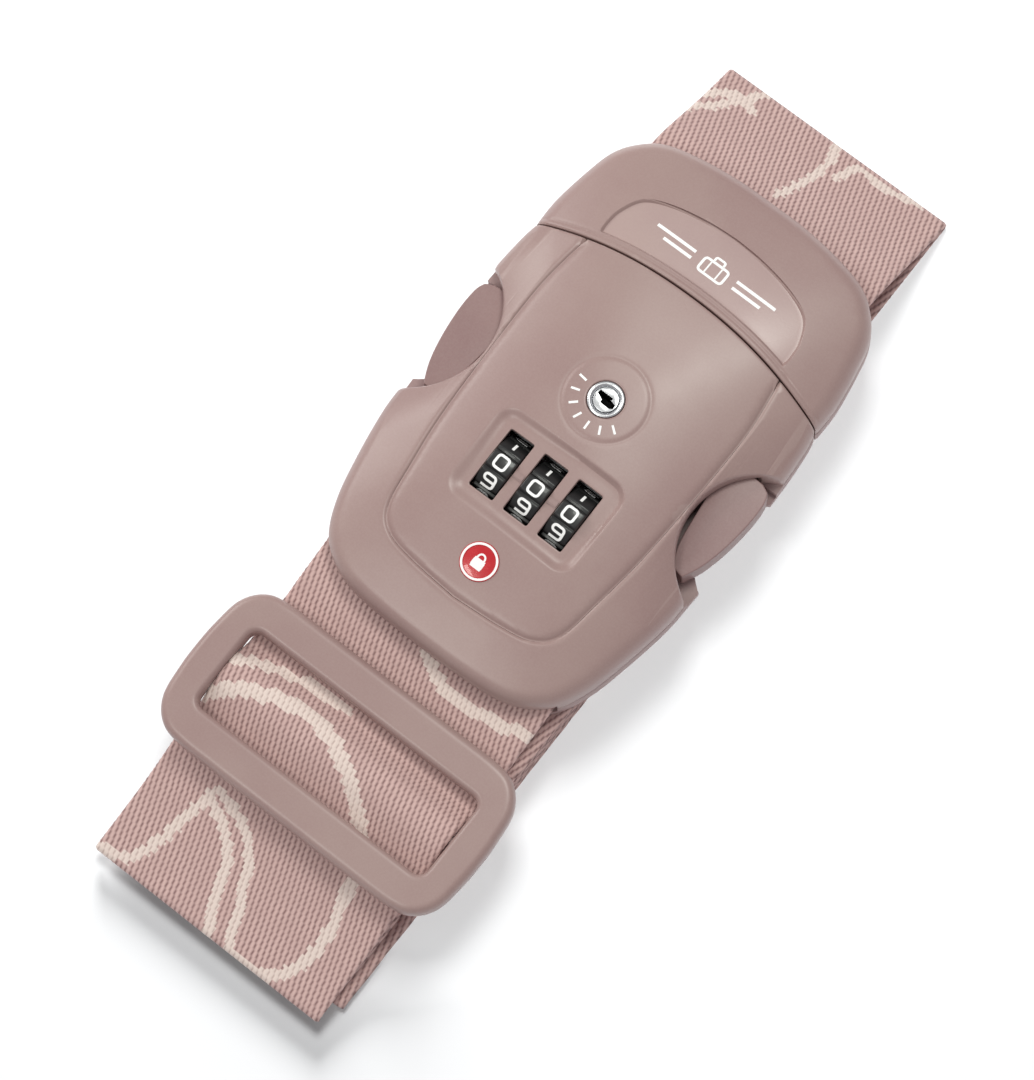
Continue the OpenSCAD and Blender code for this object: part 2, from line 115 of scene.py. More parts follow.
# Centre and radius of the right thumb scallop.
SCALLOP = (39.0, 15.0, 15.5)
FLOOR_Z = 0.02  # a hair above the underside, so that a view from below shows the strap and not the floor

# ---- camera, floor and light ----

CAMERA_AZIMUTH = math.radians(48.1)
CAMERA_ELEVATION = math.radians(76.5)
CAMERA_ROLL = math.radians(-10.26)
CAMERA_DISTANCE = 778.8
CAMERA_TARGET = (-0.3, -6.24, 5.0)
FOCAL_OVER_HEIGHT = 4315.9 / 1080
SENSOR_H = 24


def linked_object(name, data):
    obj = bpy.data.objects.new(name, data)
    bpy.context.scene.collection.objects.link(obj)
    return obj


def add_camera():
    """Camera nearly overhead, turned so that the strap runs from lower left to upper right."""
    data = bpy.data.cameras.new("camera")
    obj = linked_object("camera", data)
    az, el = CAMERA_AZIMUTH, CAMERA_ELEVATION
    out = Vector((math.sin(az) * math.cos(el), -math.cos(az) * math.cos(el), math.sin(el)))
    target = Vector((CAMERA_TARGET[0], CAMERA_TARGET[1] + AXLE_Y, CAMERA_TARGET[2]))
    right = (-out).cross(Vector((0, 0, 1))).normalized()
    up = right.cross(-out)
    c, s = math.cos(CAMERA_ROLL), math.sin(CAMERA_ROLL)
    axis_x = c * right + s * up
    axis_y = c * up - s * right
    turn = Matrix((axis_x, axis_y, out)).transposed().to_4x4()
    obj.matrix_world = Matrix.Translation((target + out * CAMERA_DISTANCE) * MM) @ turn
    data.sensor_fit = "VERTICAL"
    data.sensor_height = SENSOR_H
    data.lens = SENSOR_H * FOCAL_OVER_HEIGHT
    data.clip_start = 0.01
    bpy.context.scene.camera = obj


# Name, place and side in metres, power in watts, colour, and what takes the light: the floor alone (True)
# or the strap alone (False).
LAMPS = (
    ("overhead", (0.02, 0.28, 0.70), 0.2, 1.95, (0.955, 0.985, 0.92), False),
    ("key", (-0.6, 0.08, 0.42), 0.3, 1.7, (0.98, 0.985, 0.94), False),
    ("front", (-0.14, -0.32, 0.66), 0.2, 1.15, (0.96, 0.985, 0.92), False),
    ("floor_cast_low", (-1.18, 1.46, 0.70), 0.62, 137.0, (1.0, 1.0, 1.0), True),
    ("floor_cast_high", (-0.24, 0.3, 0.7), 0.3, 7.35, (1.0, 1.0, 1.0), True),
)
FLOOR_HALF_W = 3000.0


def area_light(name, place, side, power, color):
    """Square soft box that points at the middle of the strap."""
    data = bpy.data.lights.new(name, "AREA")
    data.shape = "SQUARE"
    data.size = side
    data.energy = power
    data.color = color
    obj = linked_object(name, data)
    obj.location = place
    obj.rotation_euler = (-Vector(place)).to_track_quat("-Z", "Y").to_euler()
    return obj


# The low lamp casts the shadow of this collection alone, which webbing() fills.
bottom_fold = bpy.data.collections.new("bottom_fold")


def add_studio():
    """White floor, a pale world, three lamps for the strap and two that only the floor takes."""
    floor_mesh = bpy.data.meshes.new("floor")
    r = FLOOR_HALF_W * MM
    floor_mesh.from_pydata([(-r, -r, 0), (r, -r, 0), (r, r, 0), (-r, r, 0)], [], [(0, 1, 2, 3)])
    floor = linked_object("floor", floor_mesh)
    floor.location.z = FLOOR_Z * MM
    mat = bpy.data.materials.new("floor_white")
    mat.use_nodes = True
    shader = mat.node_tree.nodes["Principled BSDF"]
    shader.inputs["Base Color"].default_value = (0.442, 0.449, 0.452, 1)
    shader.inputs["Roughness"].default_value = 0.9
    floor_mesh.materials.append(mat)
    world = bpy.data.worlds.new("studio")
    bpy.context.scene.world = world
    world.use_nodes = True
    sky = world.node_tree.nodes["Background"]
    sky.inputs["Color"].default_value = (1.0, 0.965, 0.985, 1)
    sky.inputs["Strength"].default_value = 0.385
    for name, place, side, power, color, for_floor in LAMPS:
        lamp = area_light(name, place, side, power, color)
        linked = bpy.data.collections.new(name + "_floor")
        linked.objects.link(floor)
        linked.collection_objects[0].light_linking.link_state = "INCLUDE" if for_floor else "EXCLUDE"
        lamp.light_linking.receiver_collection = linked
        if name == "floor_cast_low":
            lamp.light_linking.blocker_collection = bottom_fold
    bpy.context.scene.view_settings.view_transform = "Standard"


# ---- material helpers ----


def srgb(r, g, b):
    """Linear colour from 0 to 255 screen values."""
    def one(c):
        c /= 255
        return c / 12.92 if c <= 0.04045 else ((c + 0.055) / 1.055) ** 2.4
    return (one(r), one(g), one(b), 1)


class Nodes:
    """Short way to write a node tree."""

    def __init__(self, name):
        self.mat = bpy.data.materials.new(name)
        self.mat.use_nodes = True
        self.tree = self.mat.node_tree
        self.shader = self.tree.nodes["Principled BSDF"]

    def new(self, kind, **values):
        node = self.tree.nodes.new(kind)
        for key, value in values.items():
            setattr(node, key, value)
        return node

    def feed(self, socket, value):
        if isinstance(value, bpy.types.NodeSocket):
            self.tree.links.new(value, socket)
        else:
            socket.default_value = value

    def math(self, op, *values):
        node = self.new("ShaderNodeMath", operation=op)
        for socket, value in zip(node.inputs, values):
            self.feed(socket, value)
        return node.outputs[0]

    def add(self, a, b):
        return self.math("ADD", a, b)

    def subtract(self, a, b):
        return self.math("SUBTRACT", a, b)

    def times(self, a, b):
        return self.math("MULTIPLY", a, b)

    def ramp(self, value, low, high, to_low=0.0, to_high=1.0, smooth=True):
        node = self.new("ShaderNodeMapRange", interpolation_type="SMOOTHSTEP" if smooth else "LINEAR")
        for socket, item in zip(node.inputs, (value, low, high, to_low, to_high)):
            self.feed(socket, item)
        return node.outputs[0]

    def mix(self, factor, a, b):
        node = self.new("ShaderNodeMix", data_type="RGBA")
        self.feed(node.inputs["Factor"], factor)
        self.feed(node.inputs[6], a)
        self.feed(node.inputs[7], b)
        return node.outputs[2]

    def fill(self, node, **values):
        for key, value in values.items():
            self.feed(node.inputs[key.replace("_", " ")], value)
        return node.outputs[0]

    def noise(self, scale, detail=3.0, rough=0.5):
        place = self.new("ShaderNodeTexCoord").outputs["Object"]
        node = self.new("ShaderNodeTexNoise")
        return self.fill(node, Vector=place, Scale=scale, Detail=detail, Roughness=rough)

    def bump(self, height, strength, distance):
        node = self.new("ShaderNodeBump")
        self.set(Normal=self.fill(node, Height=height, Strength=strength, Distance=distance))

    def set(self, **values):
        self.fill(self.shader, **values)
        return self.mat


# ---- materials ----


def plastic(name, color, warm, rough):
    """Fine-grained moulded plastic, with faint mottling and paler rubbed edges."""
    n = Nodes(name)
    cloud = n.noise(38, 4, 0.55)
    tint = n.mix(n.ramp(cloud, 0.35, 0.68), color, warm)
    geometry = n.new("ShaderNodeNewGeometry")
    edge = n.times(n.ramp(geometry.outputs["Pointiness"], 0.52, 0.6), 0.18)
    tint = n.mix(edge, tint, srgb(196, 176, 170))
    grain = n.noise(2600, 2, 0.6)
    fleck = n.times(n.ramp(grain, 0.3, 0.72), 0.05)
    tint = n.mix(fleck, tint, srgb(214, 198, 190))
    n.bump(grain, 0.10, 0.00006)
    uneven = n.noise(90, 3)
    rough = n.ramp(uneven, 0.3, 0.7, rough - 0.01, rough + 0.02)
    return n.set(Base_Color=tint, Roughness=rough, Specular_IOR_Level=0.55)


# The weave: stitches step across and along the strap, in so many rows a millimetre. A UV unit is 100 mm.
TWILL_ACROSS = 0.96
TWILL_ALONG = 0.305
ROWS_PER_MM = 0.87
UV_MM = 100.0


def webbing_cloth():
    """Jacquard webbing: columns of slanted stitches, with floats of a cream yarn where the lines run."""
    n = Nodes("webbing_jacquard")
    uv = n.new("ShaderNodeSeparateXYZ")
    n.feed(uv.inputs[0], n.new("ShaderNodeUVMap", uv_map="strap").outputs[0])
    u = n.times(uv.outputs[0], UV_MM)
    v = n.times(uv.outputs[1], UV_MM)
    wander = n.subtract(n.noise(500, 2), 0.5)
    twill = n.add(n.times(u, TWILL_ACROSS), n.times(v, TWILL_ALONG))
    twill = n.add(twill, n.times(wander, 0.35))
    row = n.add(n.times(v, ROWS_PER_MM), n.times(wander, 0.5))
    start = n.math("FRACT", row)
    parts = []
    for shift in (0.0, 1.0):
        dv = n.subtract(start, shift)
        ridge = n.add(n.subtract(twill, n.times(dv, 0.34)), 0.5)
        off = n.subtract(n.math("FRACT", ridge), 0.5)
        body = n.subtract(1.0, n.times(n.times(off, off), 5.2))
        parts.append(n.times(body, n.ramp(n.math("ABSOLUTE", dv), 0.35, 0.85, 1.0, 0.0)))
    column = n.math("COSINE", n.times(twill, 2 * math.pi))
    column = n.ramp(column, -1.0, 1.0, smooth=False)
    stitch = n.ramp(n.math("MAXIMUM", *parts), -0.3, 1.0)
    stitch = n.add(n.times(stitch, 0.68), n.times(column, 0.32))
    fiber = n.math("SINE", n.times(twill, 40.0))
    yarn = n.add(stitch, n.times(fiber, 0.05))
    line = n.new("ShaderNodeAttribute", attribute_name="line").outputs["Fac"]
    soft = n.noise(220, 3)
    rose = n.mix(n.ramp(yarn, 0.0, 1.0, smooth=False), srgb(130, 98, 97), srgb(218, 185, 180))
    rose = n.mix(n.times(n.ramp(soft, 0.3, 0.7), 0.2), rose, srgb(180, 148, 145))
    cream_yarn = n.ramp(yarn, 0.0, 0.75, 0.45, 1.0)
    cream = n.mix(cream_yarn, srgb(168, 142, 136), srgb(232, 214, 206))
    color = n.mix(line, rose, cream)
    n.bump(n.add(yarn, n.times(line, 0.12)), 0.55, 0.00016)
    return n.set(Base_Color=color, Roughness=0.72, Sheen_Weight=0.25, Sheen_Roughness=0.4,
                 Specular_IOR_Level=0.3)


def brighter(color, factor, lift=0.0):
    return (*(min(1, c * factor + lift) for c in color[:3]), 1)


def metal(name, color, rough, scratch=0.05, uneven=0.1):
    """Brushed metal, or a smooth one when scratch and uneven are 0."""
    n = Nodes(name)
    brushed = n.noise(900, 3, 0.6)
    tint = n.mix(n.ramp(brushed, 0.3, 0.7), color, brighter(color, 1.12))
    if scratch:
        n.bump(brushed, scratch, 0.00003)
    return n.set(Base_Color=tint, Roughness=n.ramp(brushed, 0.25, 0.75, rough, rough + uneven), Metallic=1.0)


def gloss(name, color, rough, coat):
    """Hard lacquered plastic with a little wear."""
    n = Nodes(name)
    wear = n.noise(400, 4, 0.6)
    tint = n.mix(n.times(n.ramp(wear, 0.5, 0.75), 0.12), color, brighter(color, 1.6, 0.01))
    return n.set(Base_Color=tint, Roughness=n.ramp(wear, 0.3, 0.8, rough, rough + 0.12), Coat_Weight=coat)


def paint(name, color):
    """Printed ink with a few worn specks."""
    n = Nodes(name)
    worn = n.noise(1500, 2)
    tint = n.mix(n.times(n.ramp(worn, 0.6, 0.75), 0.06), color, srgb(200, 190, 184))
    return n.set(Base_Color=tint, Roughness=0.5)


MAUVE = plastic("moulded_mauve", srgb(158, 130, 127), srgb(164, 138, 134), 0.36)
# Darker copy of the mauve: painted shade for the release arms and the index nubs.
MAUVE_SHADED = plastic("moulded_mauve_painted_shade", srgb(142, 112, 111), srgb(150, 121, 119), 0.44)
# Glossier copy of the mauve for the name field: the lower roughness is real, but the lighter colour is a
# painted highlight.
MAUVE_POLISHED_HIGHLIGHT = plastic("moulded_mauve_polished_highlight", srgb(176, 150, 148), srgb(182, 158, 154), 0.26)
MAUVE_BACK = plastic("moulded_mauve_back", srgb(154, 126, 126), srgb(162, 135, 133), 0.5)
WEBBING = webbing_cloth()
STEEL = metal("zinc_steel", srgb(196, 197, 200), 0.28)
CHROME = metal("polished_chrome", srgb(206, 207, 210), 0.34, 0.0, 0.0)
DIAL_BLACK = gloss("dial_black", srgb(26, 26, 27), 0.34, 0.15)
# Near-black for the keyway's inside walls: painted shade in the deep slot of the chrome plug.
KEYWAY_SHADE = gloss("keyway_painted_shade", srgb(14, 14, 14), 0.45, 0.0)
BADGE_RED = gloss("badge_red", srgb(196, 24, 36), 0.2, 0.7)
PRINT_WHITE = paint("printed_white", srgb(255, 255, 255))
NYLON = plastic("white_nylon", srgb(226, 224, 216), srgb(236, 234, 228), 0.5)

# ---- mesh helpers ----

SHARP_ANGLE = math.radians(32)
BEVEL_ANGLE = math.radians(38)


def new_mesh(name, verts, faces):
    """Mesh from points in millimetres measured from the dials."""
    mesh = bpy.data.meshes.new(name)
    mesh.from_pydata([(x * MM, (y + AXLE_Y) * MM, z * MM) for x, y, z in verts], [], faces)
    return mesh


def new_object(name, verts, faces, material):
    mesh = new_mesh(name, verts, faces)
    mesh.validate()
    obj = linked_object(name, mesh)
    mesh.materials.append(material)
    clean(obj)
    return obj


def clean(obj):
    """Merges doubles, points the faces outwards and marks the edges over SHARP_ANGLE as sharp."""
    bm = bmesh.new()
    bm.from_mesh(obj.data)
    bmesh.ops.remove_doubles(bm, verts=bm.verts, dist=1e-6)
    bmesh.ops.recalc_face_normals(bm, faces=bm.faces)
    for edge in bm.edges:
        edge.smooth = len(edge.link_faces) == 2 and edge.calc_face_angle(0) < SHARP_ANGLE
    for face in bm.faces:
        face.smooth = True
    bm.to_mesh(obj.data)
    bm.free()


def merged(mesh, angle):
    """Mesh as a bmesh, with doubles merged, and faces joined that lie within angle of each other."""
    bm = bmesh.new()
    bm.from_mesh(mesh)
    bmesh.ops.remove_doubles(bm, verts=bm.verts, dist=2e-6)
    bmesh.ops.dissolve_limit(bm, angle_limit=math.radians(angle), verts=bm.verts, edges=bm.edges)
    return bm


def copy_of(node, name, material, body, bevel=0.0, segments=2):
    """Copy of a CAD node with small rounds on its sharp edges; without a body, it is left unattached."""
    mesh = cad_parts[node].data.copy()
    mesh.name = name
    obj = linked_object(name, mesh)
    mesh.materials.clear()
    mesh.materials.append(material)
    if mesh.has_custom_normals:
        mesh.attributes.remove(mesh.attributes["custom_normal"])
    bm = merged(mesh, 0.6)
    if bevel:
        sharp = [e for e in bm.edges if len(e.link_faces) == 2 and e.calc_face_angle(0) > BEVEL_ANGLE]
        bmesh.ops.bevel(bm, geom=sharp, offset=bevel * MM, offset_type="OFFSET", segments=segments,
                        profile=0.5, affect="EDGES", clamp_overlap=True)
    for face in bm.faces:
        face.material_index = 0
    bm.to_mesh(mesh)
    bm.free()
    clean(obj)
    if body:
        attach(obj, body)
    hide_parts(node)
    return obj


def curve_through(points, step=0.5, closed=False):
    """Catmull-Rom curve through points, as an array with about one point each step."""
    p = np.array(points, float)
    n = len(p)
    out = []
    for i in range(n if closed else n - 1):
        a, b, c, d = (p[(i + k) % n] if closed else p[min(max(i + k, 0), n - 1)] for k in (-1, 0, 1, 2))
        count = max(1, int(round(np.linalg.norm(c - b) / step)))
        for t in np.arange(count) / count:
            out.append(0.5 * (2 * b + (c - a) * t + (2 * a - 5 * b + 4 * c - d) * t ** 2
                              + (3 * b - a - 3 * c + d) * t ** 3))
    if not closed:
        out.append(p[-1])
    return np.array(out)


def distance_to(points, line, closed=False):
    """Least distance from each point to a line of points."""
    a = np.asarray(line, float)
    b = np.roll(a, -1, axis=0) if closed else a[1:]
    a = a if closed else a[:-1]
    best = np.full(len(points), 1e9)
    for s, e in zip(a, b):
        v = e - s
        t = np.clip(((points - s) @ v) / max(v @ v, 1e-12), 0, 1)
        best = np.minimum(best, np.linalg.norm(points - s - t[:, None] * v, axis=1))
    return best


def inside(points, outline):
    """Whether each point is inside the closed outline."""
    x, y = points[:, 0], points[:, 1]
    hit = np.zeros(len(points), bool)
    a = np.asarray(outline)
    for (x0, y0), (x1, y1) in zip(a, np.roll(a, -1, axis=0)):
        if y0 == y1:
            continue
        cross = (y0 > y) != (y1 > y)
        hit ^= cross & (x < (x1 - x0) * (y - y0) / (y1 - y0) + x0)
    return hit


def sideways(line, closed=False):
    """Unit vector to the left at each point of a line."""
    if closed:
        t = np.roll(line, -1, axis=0) - np.roll(line, 1, axis=0)
    else:
        t = np.gradient(line, axis=0)
    t /= np.maximum(np.linalg.norm(t, axis=1), 1e-9)[:, None]
    return np.column_stack([-t[:, 1], t[:, 0]])


def within(points, outline, holes):
    """Whether each point is inside the outline and in none of its holes."""
    keep = inside(points, outline)
    for hole in holes:
        keep &= ~inside(points, hole)
    return keep


def offset_line(line, d, closed=False):
    """Line of points moved sideways by d."""
    p = np.asarray(line, float)
    return p + d * sideways(p, closed)


def thin_out(points, gap):
    """Keeps the first point in each square of the size gap."""
    keep = np.unique(np.round(points / gap).astype(int), axis=0, return_index=True)[1]
    return points[np.sort(keep)]


RIM_RINGS = (0.12, 0.3, 0.55, 0.9, 1.4, 2.0, 2.7)
LINE_RINGS = (-1.1, -0.75, -0.5, -0.3, -0.12, 0, 0.12, 0.3, 0.5, 0.75, 1.1)
ROW_OVER_STEP = 0.87


def triangle_grid(low_corner, high_corner, step):
    """Points in rows, each row half a step aside of the last."""
    rows = []
    for i, y in enumerate(np.arange(low_corner[1], high_corner[1], step * ROW_OVER_STEP)):
        x = np.arange(low_corner[0] + (i % 2) * step / 2, high_corner[0], step)
        rows.append(np.column_stack([x, np.full(len(x), y)]))
    return np.concatenate(rows)


def plate(name, outline, height, floor, material, lines=(), holes=(), rings=RIM_RINGS, step=0.9,
          bottom_round=0.0):
    """Closed solid over an outline, with holes. height and floor give z at arrays of points.

    Points lie at the distances in rings from each edge, and closely beside each of the lines.
    """
    loops = [outline, *holes]
    cloud = [offset_line(loop, side, True) for loop in loops for d in rings for side in (d, -d)]
    cloud += [offset_line(line, d) for line in lines for d in LINE_RINGS]
    grid = triangle_grid(outline.min(0), outline.max(0), step)
    for line in lines:
        grid = grid[distance_to(grid, line) > LINE_RINGS[-1] + 0.2]
    for loop in loops:
        grid = grid[distance_to(grid, loop, True) > rings[-1] + 0.25]
    extra = np.concatenate(cloud + [grid])
    extra = extra[within(extra, outline, holes)]
    for loop in loops:
        extra = extra[distance_to(extra, loop, True) > rings[0] * 0.9]
    every = np.concatenate(loops + [thin_out(extra, 0.11)])
    edges, start = [], 0
    for loop in loops:
        n = len(loop)
        edges += [(start + i, start + (i + 1) % n) for i in range(n)]
        start += n
    out = delaunay_2d_cdt([Vector(p) for p in every], edges, [], 0, 1e-6)
    flat = np.array([(v[0], v[1]) for v in out[0]])
    tris = [tuple(f) for f in out[2]]
    centers = np.array([flat[list(t)].mean(0) for t in tris])
    tris = [t for t, keep in zip(tris, within(centers, outline, holes)) if keep]
    n = len(flat)
    low_z = floor(flat)
    if bottom_round:
        d = np.min([distance_to(flat, loop, True) for loop in loops], axis=0)
        low_z = low_z + rounding(d, bottom_round)
    verts = np.concatenate([np.column_stack([flat, height(flat)]), np.column_stack([flat, low_z])])
    count = {}
    for t in tris:
        for a, b in ((t[0], t[1]), (t[1], t[2]), (t[2], t[0])):
            count[(a, b)] = count.get((a, b), 0) + 1
    faces = tris + [tuple(i + n for i in reversed(t)) for t in tris]
    faces += [(b, a, a + n, b + n) for (a, b) in count if (b, a) not in count]
    return new_object(name, verts, faces, material)


def rounding(d, r):
    """How far a rounded edge of radius r falls at distance d inside the edge."""
    inner = np.clip(r - d, 0, r)
    return r - np.sqrt(np.maximum(r * r - inner * inner, 0))


def step_down(d, width):
    """0 outside, rising smoothly to 1 at distance width inside."""
    t = np.clip(d / width, 0, 1)
    return t * t * (3 - 2 * t)


def keep_common(obj, node):
    """Cuts obj back to the solid of a CAD node, so that its chambers and slots are there."""
    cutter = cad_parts[node].data.copy()
    bm = merged(cutter, 0.2)
    bmesh.ops.triangulate(bm, faces=bm.faces)
    bm.to_mesh(cutter)
    bm.free()
    other = linked_object(node + "_cut", cutter)
    scale = Matrix.Scale(1 / MM, 4)
    obj.data.transform(scale)
    other.data.transform(scale)
    mod = obj.modifiers.new("common", "BOOLEAN")
    mod.operation = "INTERSECT"
    mod.solver = "EXACT"
    mod.object = other
    bpy.context.view_layer.update()
    graph = bpy.context.evaluated_depsgraph_get()
    mesh = bpy.data.meshes.new_from_object(obj.evaluated_get(graph))
    obj.modifiers.clear()
    old, obj.data = obj.data, mesh
    bpy.data.meshes.remove(old)
    obj.data.transform(Matrix.Scale(MM, 4))
    material = obj.data.materials[0]
    obj.data.materials.clear()
    obj.data.materials.append(material)
    bpy.data.objects.remove(other)
    for poly in obj.data.polygons:
        poly.material_index = 0
    clean(obj)


def round_faces(steps, n):
    """Quads between closed sections of n points each, which stand all the way round."""
    return [(k * n + i, k * n + (i + 1) % n, (k + 1) % steps * n + (i + 1) % n, (k + 1) % steps * n + i)
            for k in range(steps) for i in range(n)]


def lathe(name, profile, center, material, turn=Matrix.Identity(3), steps=96):
    """Closed solid of revolution about a vertical line; profile holds (radius, z) from axis to axis."""
    verts = []
    for k in range(steps):
        a = 2 * math.pi * k / steps
        verts += [turn @ Vector((r * math.cos(a), r * math.sin(a), z)) + Vector(center) for r, z in profile]
    return new_object(name, verts, round_faces(steps, len(profile)), material)


def raised(strokes, place, thick):
    """Verts and faces of thin raised lines; place(u, v, h) gives the point in space."""
    verts, faces = [], []
    for points, width, closed in strokes:
        a, b = offset_line(points, width / 2, closed), offset_line(points, -width / 2, closed)
        n = len(a)
        base = len(verts)
        for i in range(n):
            verts += [place(*a[i], thick), place(*b[i], thick), place(*b[i], -thick), place(*a[i], -thick)]
        for i in range(n if closed else n - 1):
            j = (i + 1) % n
            for k in range(4):
                m = (k + 1) % 4
                faces.append((base + 4 * i + k, base + 4 * i + m, base + 4 * j + m, base + 4 * j + k))
        if not closed:
            faces.append(tuple(base + k for k in (3, 2, 1, 0)))
            faces.append(tuple(base + 4 * (n - 1) + k for k in range(4)))
    return verts, faces


def joined(parts):
    """Verts and faces of several parts as one."""
    verts, faces = [], []
    for part_verts, part_faces in parts:
        faces += [tuple(i + len(verts) for i in face) for face in part_faces]
        verts += part_verts
    return verts, faces


def curve_fill(points, closed, step=0.25):
    """Adds points along long straight stretches, and drops doubles."""
    out = []
    n = len(points)
    for i in range(n if closed else n - 1):
        a, b = points[i], points[(i + 1) % n]
        length = np.linalg.norm(b - a)
        if length > 1e-6:
            count = max(1, int(length / step))
            out += [a + (b - a) * t / count for t in range(count)]
    if not closed:
        out.append(points[-1])
    return np.array(out)


def on_circle(cx, cy, r, angles):
    return np.column_stack([cx + r * np.cos(angles), cy + r * np.sin(angles)])


def circle(cx, cy, r, steps=48):
    return on_circle(cx, cy, r, np.linspace(0, 2 * math.pi, steps, endpoint=False))


def rounded_box(half_w, half_l, r, step=0.4, center=(0, 0)):
    """Closed rounded rectangle, with points along its straight sides as well."""
    corners = []
    for side_x, side_y, start in ((1, 1, 0), (-1, 1, 90), (-1, -1, 180), (1, -1, 270)):
        cx, cy = center[0] + side_x * (half_w - r), center[1] + side_y * (half_l - r)
        corners += list(on_circle(cx, cy, r, np.radians(np.linspace(start, start + 90, 7))))
    return curve_fill(corners, True, step)


def rounded_path(points, r, closed=False):
    """Path with its corners rounded to radius r."""
    p = [np.array(q, float) for q in points]
    n = len(p)
    out = []
    for i in range(n):
        if not closed and i in (0, n - 1):
            out.append(p[i])
            continue
        a, b, c = p[i - 1], p[i], p[(i + 1) % n]
        ra = min(r, np.linalg.norm(a - b) / 2)
        rc = min(r, np.linalg.norm(c - b) / 2)
        s = b + (a - b) / np.linalg.norm(a - b) * ra
        e = b + (c - b) / np.linalg.norm(c - b) * rc
        for t in np.linspace(0, 1, 6):
            out.append((1 - t) ** 2 * s + 2 * t * (1 - t) * b + t * t * e)
    return np.array(out)


# ---- outlines of the buckle ----


def seam_at(x):
    return SEAM_Y - SEAM_BOW * np.asarray(x, float) ** 2


def mirrored(right):
    """Closed outline from its right half, which runs from the middle line to the middle line."""
    line = np.concatenate([right, right[::-1] * [-1, 1]])
    gap = np.linalg.norm(line - np.roll(line, -1, axis=0), axis=1)
    return line[gap > 0.02]


def both_sides(right):
    """Open line down the left side and back up the right."""
    return np.concatenate([(right * [-1, 1])[::-1], right])


def seam_points(x0, x1, shift):
    """Points about 0.6 mm apart along the seam, moved towards the plug half by shift."""
    x = np.linspace(x0, x1, max(2, int(abs(x1 - x0) / 0.6)) + 1)
    return np.column_stack([x, seam_at(x) + shift])


LOCK_SIDE = [(0.02, -33.75), (12, -33.45), (19.5, -32.05), (25, -28.35), (28.35, -22), (30.55, -13),
             (32.05, -4), (32.35, 2), (32.85, 14), (32.75, 28), (32.25, 36), (31.75, 39.3)]
PLUG_SIDE = [(31.75, 40.9), (31.75, 46), (30.75, 53), (29.35, 59), (26.75, 63), (22.35, 66.35),
             (15, 68.15), (7, 69.05), (0.02, 69.15)]
PANEL_SIDE = [(0.02, -23.55), (10, -22.75), (16, -21.35), (19.35, -17.6), (20.85, -9), (22.15, 2),
              (22.85, 18), (22.95, 31), (21.85, 40.6)]
NAME_SIDE = [(20.75, 45.1), (20.95, 47.2), (20.45, 50.6), (18.2, 54.6), (13, 57), (6, 58.4), (0.02, 58.8)]
PANEL_TOP_X = 21.55

lock_side = curve_through(LOCK_SIDE)
plug_side = curve_through(PLUG_SIDE)
panel_side = curve_through(PANEL_SIDE)
whole_outline = mirrored(np.concatenate([lock_side, plug_side]))


def cut_scallop(line):
    """Right side of the lock half with the thumb scallop taken out of it."""
    cx, cy, r = SCALLOP
    out = line[np.linalg.norm(line - [cx, cy], axis=1) > r]
    low_part = out[out[:, 1] < cy]
    high_part = out[out[:, 1] > cy]
    a0, a1 = (math.atan2(y - cy, x - cx) % (2 * math.pi) for x, y in (low_part[-1], high_part[0]))
    return np.concatenate([low_part, on_circle(cx, cy, r, np.linspace(a0, a1, 60)[1:-1]), high_part])


def crown(p):
    """Height of the crowned top over points p."""
    across = p[:, 0] ** 2 / (2 * CROWN_R_X)
    along = (p[:, 1] - CROWN_Y) ** 2 / (2 * CROWN_R_Y)
    return COVER_Z - 0.03 - np.sqrt(across ** 2 + along ** 2)


def edge_fall(p, radius=2.3):
    """Fall of the top towards the outer edge and into the seam."""
    fall = rounding(distance_to(p, whole_outline, True), radius)
    d_seam = np.abs(p[:, 1] - seam_at(p[:, 0]) - SEAM_GAP / 2) - SEAM_GAP / 2
    return fall + rounding(np.maximum(d_seam, 0), 0.45)


def scallop_fall(p):
    """Fall of the top into the thumb scallops."""
    cx, cy, r = SCALLOP
    d = np.minimum(np.hypot(p[:, 0] - cx, p[:, 1] - cy), np.hypot(p[:, 0] + cx, p[:, 1] - cy)) - r
    return rounding(np.maximum(d, 0), 0.9)


# ---- shells ----


def lock_top():
    """Top shell of the lock half, a horseshoe round the inset panel."""
    outer = cut_scallop(lock_side)
    inner = offset_line(panel_side, -0.05)
    inner = inner[inner[:, 0] > 0.01]
    inner[-1] = (PANEL_TOP_X + 0.2, seam_at(PANEL_TOP_X + 0.2) - 0.02)
    right = np.concatenate([outer, seam_points(SEAM_END_X, PANEL_TOP_X + 0.25, -0.02)[:-1], inner[::-1]])
    panel_edge = both_sides(inner)

    def height(p):
        return crown(p) - edge_fall(p) - scallop_fall(p) - groove(distance_to(p, panel_edge))

    obj = plate("lock_top_cover", mirrored(right), height, flat_at(SHELL_FLOOR_Z), MAUVE)
    keep_common(obj, "lock_top_shell")
    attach(obj, "lock_half")
    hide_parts("lock_top_shell")


TRAY_HALF_W = 14.2
TRAY_HALF_L = 9.9
TRAY_DEPTH = 0.95
DIAL_TRAY = rounded_box(TRAY_HALF_W, TRAY_HALF_L, 3.6)
KEY_DISC_R = 7.9
KEY_DISC = circle(0, KEY_Y, KEY_DISC_R)


def flat_at(z):
    """Height function of a level underside."""
    return lambda p: np.full(len(p), z)


def loop_line(outline):
    """Closed outline as a line that ends where it starts."""
    return np.concatenate([outline, outline[:1]])


def depth_inside(p, outline):
    """Distance of each point from the outline it is inside of, and 0 outside."""
    return distance_to(p, outline, True) * inside(p, outline)


def tray_depth(p):
    """Depth of the shallow tray that the dials stand in, steeper at its upper right."""
    toward = np.clip(0.5 + 0.45 * (p[:, 0] / TRAY_HALF_W + p[:, 1] / TRAY_HALF_L), 0, 1)
    return TRAY_DEPTH * step_down(depth_inside(p, DIAL_TRAY), 3.0 - 1.75 * toward)


